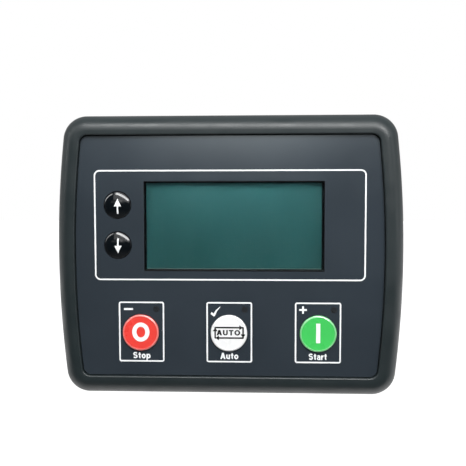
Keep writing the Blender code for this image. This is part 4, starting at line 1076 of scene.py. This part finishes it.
def add_arrow(bm, direction):
    """A flat arrow in fine rows and columns, so that it can follow the dome."""
    steps, columns = 12, 8
    foot, base = -ARROW_LENGTH / 2, ARROW_LENGTH / 2 - HEAD_LENGTH
    rows = [(foot + (base - foot) * i / steps, SHAFT_WIDTH) for i in range(steps + 1)]
    for i in range(steps + 1):
        share = i / steps
        rows.append((base + HAIR + HEAD_LENGTH * share, max(HEAD_WIDTH * (1 - share), 5 * HAIR)))
    loops = []
    for z, width in rows:
        across = [width * (i / columns - 0.5) for i in range(columns + 1)]
        front = [Vector((x, -INK_THICKNESS, z * direction)) for x in across]
        loops.append(front + [Vector((x, INK_THICKNESS, z * direction)) for x in reversed(across)])
    add_loft(bm, loops)


# Back of the case


def block_levels(half_width, half_height, y0, y1):
    """Levels of a block whose back edge is rounded."""
    levels = [(centred(half_width, half_height, CASE_CORNER), y0)]
    for i in range(EDGE_STEPS + 1):
        angle = math.pi / 2 * i / EDGE_STEPS
        inset = CASE_EDGE * (1 - math.cos(angle))
        outline = centred(half_width - inset, half_height - inset, CASE_CORNER - inset)
        levels.append((outline, y1 - CASE_EDGE * (1 - math.sin(angle))))
    return levels


def terminal_width(ways, pitch):
    return ways * pitch + 2 * (GAP + SOCKET_WALL)


def make_case():
    front, floor = PLATE_BACK + GAP, SHELF_Y - CASE_WALL
    shell = built(add_levels, block_levels(CASE_HALF_WIDTH, CASE_HALF_HEIGHT, front, SHELF_Y))
    case = finish_object("case_shell", shell, "case_plastic")
    tower = block_levels(TOWER_HALF_WIDTH, TOWER_HALF_HEIGHT, SHELF_Y - CASE_WALL / 2, CASE_DEPTH)
    cut(case, built(add_levels, tower), "UNION")
    outer = centred(TOWER_HALF_WIDTH, CASE_HALF_HEIGHT - CASE_WALL, CASE_CORNER / 2)
    inner = centred(TOWER_HALF_WIDTH - CASE_WALL, TOWER_HALF_HEIGHT - CASE_WALL, CASE_CORNER / 2)
    hollow = ((outer, front - GAP), (outer, floor), (inner, floor), (inner, CASE_DEPTH - CASE_WALL))
    cut(case, built(add_levels, hollow))
    cut(case, built(add_bosses, BOSS_MEET, floor + CASE_WALL / 2), "UNION")
    bm = bmesh.new()
    head_y = SHELF_Y - CASE_SCREW_HEIGHT - 2 * GAP
    for place_xz in SCREW_PLACES:
        hole, head = (circle(*place_xz, r + GAP, SMALL_STEPS) for r in (CASE_SCREW_RADIUS, CASE_SCREW_HEAD))
        add_levels(bm, ((hole, BOSS_MEET - GAP), (hole, head_y), (head, head_y), (head, SHELF_Y + GAP)))
    for _, ways, pitch, x, side in TERMINALS:
        half = terminal_width(ways, pitch) / 2 + GAP
        ends = sorted((side * (TOWER_HALF_HEIGHT + GAP), side * (TOWER_HALF_HEIGHT - 2 * CASE_WALL)))
        add_box(bm, *about(x, half), SHELF_Y + GAP, SOCKET_BACK + GAP, *ends)
    usb = rounded_rectangle(*USB_PLACE, *(size + 2 * GAP for size in USB_SIZE), USB_HOLE_CORNER, 3)
    add_prism(bm, usb, CASE_DEPTH - 2 * CASE_WALL, CASE_DEPTH + CASE_WALL)
    near, far = CASE_HALF_WIDTH - CASE_WALL - SLOT_REACH, CASE_HALF_WIDTH + SLOT_REACH
    for row in (-1, 0, 1):
        for z in (row * SLOT_PITCH - SLOT_Z, row * SLOT_PITCH + SLOT_Z):
            for ends in ((near, far), (-far, -near)):
                add_box(bm, *ends, SLOT_START, SLOT_START + SLOT_LENGTH, *about(z, SLOT_WIDTH / 2))
    cut(case, bm)
    recess = rounded_rectangle(*BACK_RECESS, RECESS_CORNER, 4)
    cut(case, built(add_prism, recess, CASE_DEPTH - BACK_RECESS_DEPTH, CASE_DEPTH + GAP))
    place(case, "housing", "case_plastic", "rear_case")


def add_screw(bm, x, z, y, radius, height):
    """The head of a screw that faces the back."""
    top, dome, steps = y + height, height * 0.35, 6
    profile = [(0, top)]
    for i in range(1, steps + 1):
        share = i / steps
        profile.append((radius * 0.86 * share, top - dome * share**2 * 0.5))
    profile += [(radius * 0.97, top - dome * 0.75), (radius, top - dome), (radius, y), (0, y)]
    add_turned(bm, x, z, profile, SMALL_STEPS)


def add_recess(bm, outline, x, z, y, radius, height):
    """What cuts the slot or cross into the head of a screw."""
    add_prism(bm, moved(outline, x, z), y + height - radius * 0.35, y + height + radius)


def make_case_screws():
    head_y = SHELF_Y - CASE_SCREW_HEIGHT - GAP
    start, end = head_y - NECK_LENGTH, head_y - CASE_SCREW_LENGTH
    stop, core = end + CASE_SCREW_RADIUS, CASE_SCREW_RADIUS * THREAD_SHARE
    pitch = (stop - start) / THREAD_TURNS
    shank = [(radius, head_y + SHANK_OVERLAP) for radius in (0, CASE_SCREW_RADIUS)]
    for i in range(THREAD_TURNS):
        y = start + (stop - start) * i / THREAD_TURNS
        shank += [(CASE_SCREW_RADIUS, y), (core, y + pitch / 2)]
    shank += [(core, stop), (0, end)]
    recess = cross(CROSS_ARM, CROSS_HALF)
    for number, (sz, sx) in enumerate(((1, -1), (1, 1), (-1, -1), (-1, 1)), 1):
        head = (sx * CASE_SCREW_X, sz * CASE_SCREW_Z, head_y, CASE_SCREW_HEAD, CASE_SCREW_HEIGHT)
        name = f"case_screw_head_{number}"
        screw = finish_object(name, built(add_screw, *head), "screw_steel")
        cut(screw, built(add_recess, recess, *head))
        cut(screw, built(add_turned, *head[:2], shank, SMALL_STEPS), "UNION")
        shade(screw.data, THREAD_ANGLE)
        place(screw, "housing", "screw_steel", f"case_screw_{number}")


def make_plugs():
    """Pluggable terminals: green bodies, with a screw in each clamp hole and a clamp in each wire entry."""
    middle = (SOCKET_FRONT + SOCKET_BACK) / 2
    outer_d = STEP_HEIGHT - GAP
    body_y0, body_y1 = SHELF_Y + GAP, CASE_DEPTH
    nose_y0, nose_y1 = SOCKET_FRONT + SOCKET_WALL + GAP, SOCKET_BACK - SOCKET_WALL - GAP
    section = [
        (-PLUG_NOSE, nose_y0), (GAP, nose_y0), (GAP, body_y0), (outer_d, body_y0),
        (outer_d, body_y1 - PLUG_SLOPE), (outer_d - PLUG_SLOPE / 2, body_y1), (GAP, body_y1),
        (GAP, nose_y1), (-PLUG_NOSE, nose_y1),
    ]
    hole_y = CASE_DEPTH - CLAMP_HOLE_DEPTH
    slot = rectangle(0, 0, *CLAMP_SLOT)
    for name, ways, pitch, x, side in TERMINALS:
        half = ways * pitch / 2
        places = [x + (way - (ways - 1) / 2) * pitch for way in range(ways)]

        def reach(d):
            return side * (TOWER_HALF_HEIGHT + d)

        def between(d0, d1):
            return sorted((reach(d0), reach(d1)))

        loops = [[Vector((x + end, y, reach(d))) for d, y in section] for end in (-half, half)]
        plug = finish_object(f"{name}_block", built(add_loft, loops), "terminal_green")
        bm = bmesh.new()
        ends = between(outer_d - GROOVE_DEPTH, outer_d + GAP)
        for way in range(1, ways):
            at = x + (way - ways / 2) * pitch
            add_box(bm, *about(at, GROOVE_HALF), body_y0 - GAP, body_y1 + GAP, *ends)
        cut(plug, bm)
        soften(plug, PLUG_EDGE)
        bm = bmesh.new()
        ends = between(outer_d + GAP, outer_d - ENTRY_DEPTH)
        clamp_z = reach((outer_d - PLUG_SLOPE / 2 + GAP) / 2)
        for at in places:
            add_box(bm, *about(at, ENTRY_HALF_X), *about(middle, ENTRY_HALF_Y), *ends)
            add_prism(bm, circle(at, clamp_z, CLAMP_HOLE, SMALL_STEPS), hole_y, CASE_DEPTH + GAP)
        ends = between(-PLUG_NOSE - GAP, -PLUG_NOSE + CHANNEL_DEPTH)
        add_box(bm, *about(x, half - SOCKET_WALL), *about(middle, CHANNEL_HALF), *ends)
        cut(plug, bm)
        place(plug, "housing", "terminal_green", f"{name}_plug")

        heads, slots, clamps = bmesh.new(), bmesh.new(), bmesh.new()
        low, high = between(*(outer_d - level for level in CLAMP_LEVELS))
        for at in places:
            head = (at, clamp_z, hole_y + 2 * HAIR, CLAMP_SCREW_RADIUS, CLAMP_SCREW_HEIGHT)
            add_screw(heads, *head)
            add_recess(slots, slot, *head)
            outer = rectangle(at, middle, *CLAMP_SIZE)
            inner = rectangle(at, middle, *(size - 2 * CLAMP_WALL for size in CLAMP_SIZE))
            levels = ((outer, low), (outer, high), (inner, high), (inner, low))
            loops = [[Vector((px, py, level)) for px, py in outline] for outline, level in levels]
            add_loft(clamps, loops, closed=True)
        screws = finish_object(f"{name}_screws", heads, "screw_steel")
        cut(screws, slots)
        place(screws, "housing", "screw_steel")
        put(f"{name}_clamps", clamps, "screw_steel")


def make_usb():
    """Square service socket: a metal shell, with a black tongue that carries four contacts."""
    x, z = USB_PLACE
    front, back = SHELF_Y + 2 * GAP, CASE_DEPTH - GAP
    floor = back - USB_DEPTH

    def shape(width, height, chamfer):
        w, h = width / 2, height / 2
        points = [(-w, -h), (w, -h), (w, h - chamfer), (w - chamfer, h), (-w + chamfer, h), (-w, h - chamfer)]
        return moved(points, x, z)

    outer, mouth = shape(*USB_SIZE, USB_CHAMFER / 4), shape(*USB_MOUTH, USB_CHAMFER)
    levels = ((outer, front), (outer, back), (mouth, back), (mouth, floor))
    shell = finish_object("usb_shell", built(add_levels, levels), "socket_metal")
    soften(shell, USB_EDGE)
    place(shell, "housing", "socket_metal", "usb_socket")
    tongue = built(add_prism, rectangle(x, z, *TONGUE_SIZE), floor + 5 * HAIR, back - TONGUE_SINK)
    block = finish_object("usb_tongue", tongue, "tongue_black")
    soften(block, TONGUE_EDGE)
    place(block, "housing", "switch_black")
    bm = bmesh.new()
    depths = (floor + CONTACT_ENDS[0], back - CONTACT_ENDS[1])
    for column in (-1, 1):
        for row in (-1, 1):
            edge_z = z + row * TONGUE_SIZE[1] / 2
            ends = sorted((edge_z - row * CONTACT_SINK, edge_z + row * CONTACT_RISE))
            add_box(bm, *about(x + column * CONTACT_X, CONTACT_HALF), *depths, *ends)
    put("usb_contacts", bm, "socket_metal", finish="contact_gold")


def dress_cad_nodes():
    """Gives each CAD node that is still shown the finish of its own slot."""
    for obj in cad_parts.values():
        if not obj.hide_render:
            for index, old in enumerate(obj.data.materials):
                obj.data.materials[index] = FINISHES[old.name.split(".")[0]]


# Studio

FLOOR_DROP = 0.30
FLOOR_SIZE = 8.0
FLOOR_FRONT = 0.12
ROOM_FRONT = 0.02
ROOM_SIDE = 0.5
ROOM_BACK = 0.75
ROOM_BELOW = 0.2

# Name, azimuth, elevation, distance, width, height, radiance and roll, with the angles in degrees
LIGHTS = (
    ("wide_softbox", 13, 42, 0.65, 1.05, 0.53, 1.60, -14),
    ("slanted_strip", 14, 43, 0.62, 0.80, 0.11, 17.5, -33),
    ("low_softbox", -1, 20, 0.65, 0.26, 0.10, 2.0, -14),
    ("low_wide_box", -10, 15, 0.65, 0.80, 0.10, 0.5, 0),
    ("left_strip", -69, 27, 0.65, 0.55, 0.05, 9.0, 60),
    ("right_strip", 72, 12, 0.65, 0.50, 0.15, 2.0, -85),
)


def make_stage():
    z = -BEZEL_HEIGHT / 2 - FLOOR_DROP
    corners = rectangle(0, FLOOR_SIZE / 2 - FLOOR_FRONT, FLOOR_SIZE, FLOOR_SIZE)
    bm = bmesh.new()
    bm.faces.new([bm.verts.new((x, y, z)) for x, y in corners])
    floor = finish_object("floor", bm)
    ground = surface("floor_paper", (0.84, 0.84, 0.84), 0.85, grain=300, patch=3, patchiness=0.01)
    glow_in_view(ground, 0.6)
    floor.data.materials.append(ground)


def make_world():
    """White wherever the camera looks; as light, pale behind the object and dim in front of it."""
    world = bpy.data.worlds.new("studio")
    bpy.context.scene.world = world
    world.use_nodes = True
    tree = world.node_tree
    axes = axes_of(tree, "Generated")
    room = spread(tree, axes["Y"], ROOM_FRONT, ROOM_SIDE, -0.4, 0.3)
    room = computed(tree, "MAXIMUM", room, spread(tree, axes["Y"], 0.0, ROOM_BACK, 0.5, 1.0))
    room = computed(tree, "MAXIMUM", room, spread(tree, axes["Z"], ROOM_BELOW, 0.0, -0.8, -0.4))
    strength = node(tree, "Mix", data_type="FLOAT", Factor=node(tree, "LightPath").outputs["Is Camera Ray"])
    feed(strength.inputs[2], room)
    feed(strength.inputs[3], 1.0)
    give(tree.nodes["Background"], Color=(1, 1, 1, 1), Strength=strength.outputs[0])


def add_light(name, azimuth, elevation, distance, width, height, radiance, roll):
    """A flat soft light aimed at the origin. Its radiance is that of its face, where 1 is white."""
    data = bpy.data.lights.new(name, "AREA")
    data.shape = "RECTANGLE"
    data.size, data.size_y = width, height
    data.energy = math.pi * width * height * radiance
    light = linked(name, data)
    a, e = math.radians(azimuth), math.radians(elevation)
    away = Vector((math.sin(a) * math.cos(e), -math.cos(a) * math.cos(e), math.sin(e)))
    turn = away.to_track_quat("Z", "Y").to_matrix().to_4x4() @ Matrix.Rotation(math.radians(roll), 4, "Z")
    light.matrix_world = Matrix.Translation(away * distance) @ turn
    light.visible_camera = False


def make_lights():
    for light in LIGHTS:
        add_light(*light)


# The photograph's viewpoint, from a fit to the straight edges of the photo
CAMERA_PLACE = (0.0146, -0.2862, 0.0274)
CAMERA_RIGHT = (0.99893, 0.046295, -0.001729)
CAMERA_UP = (-0.001251, 0.064242, 0.997934)
CAMERA_BACK = (0.04631, -0.996859, 0.064231)
SENSOR_WIDTH = 36.0
FOCAL_PIXELS, PHOTO_PIXELS = 700.0, 466.0


def make_camera():
    data = bpy.data.cameras.new("camera")
    data.sensor_width = SENSOR_WIDTH
    data.sensor_fit = "HORIZONTAL"
    data.lens = SENSOR_WIDTH * FOCAL_PIXELS / PHOTO_PIXELS
    data.clip_start = 0.01
    camera = linked("camera", data)
    rows = zip(CAMERA_RIGHT, CAMERA_UP, CAMERA_BACK, CAMERA_PLACE)
    camera.matrix_world = Matrix([*rows, (0, 0, 0, 1)])
    bpy.context.scene.camera = camera


def main():
    make_bezel()
    make_film()
    make_gasket()
    make_display()
    make_buttons()
    make_film_print()
    make_cap_print()
    make_case()
    make_case_screws()
    make_plugs()
    make_usb()
    dress_cad_nodes()
    make_stage()
    make_world()
    make_lights()
    make_camera()
    bpy.context.scene.view_settings.view_transform = "Standard"


main()
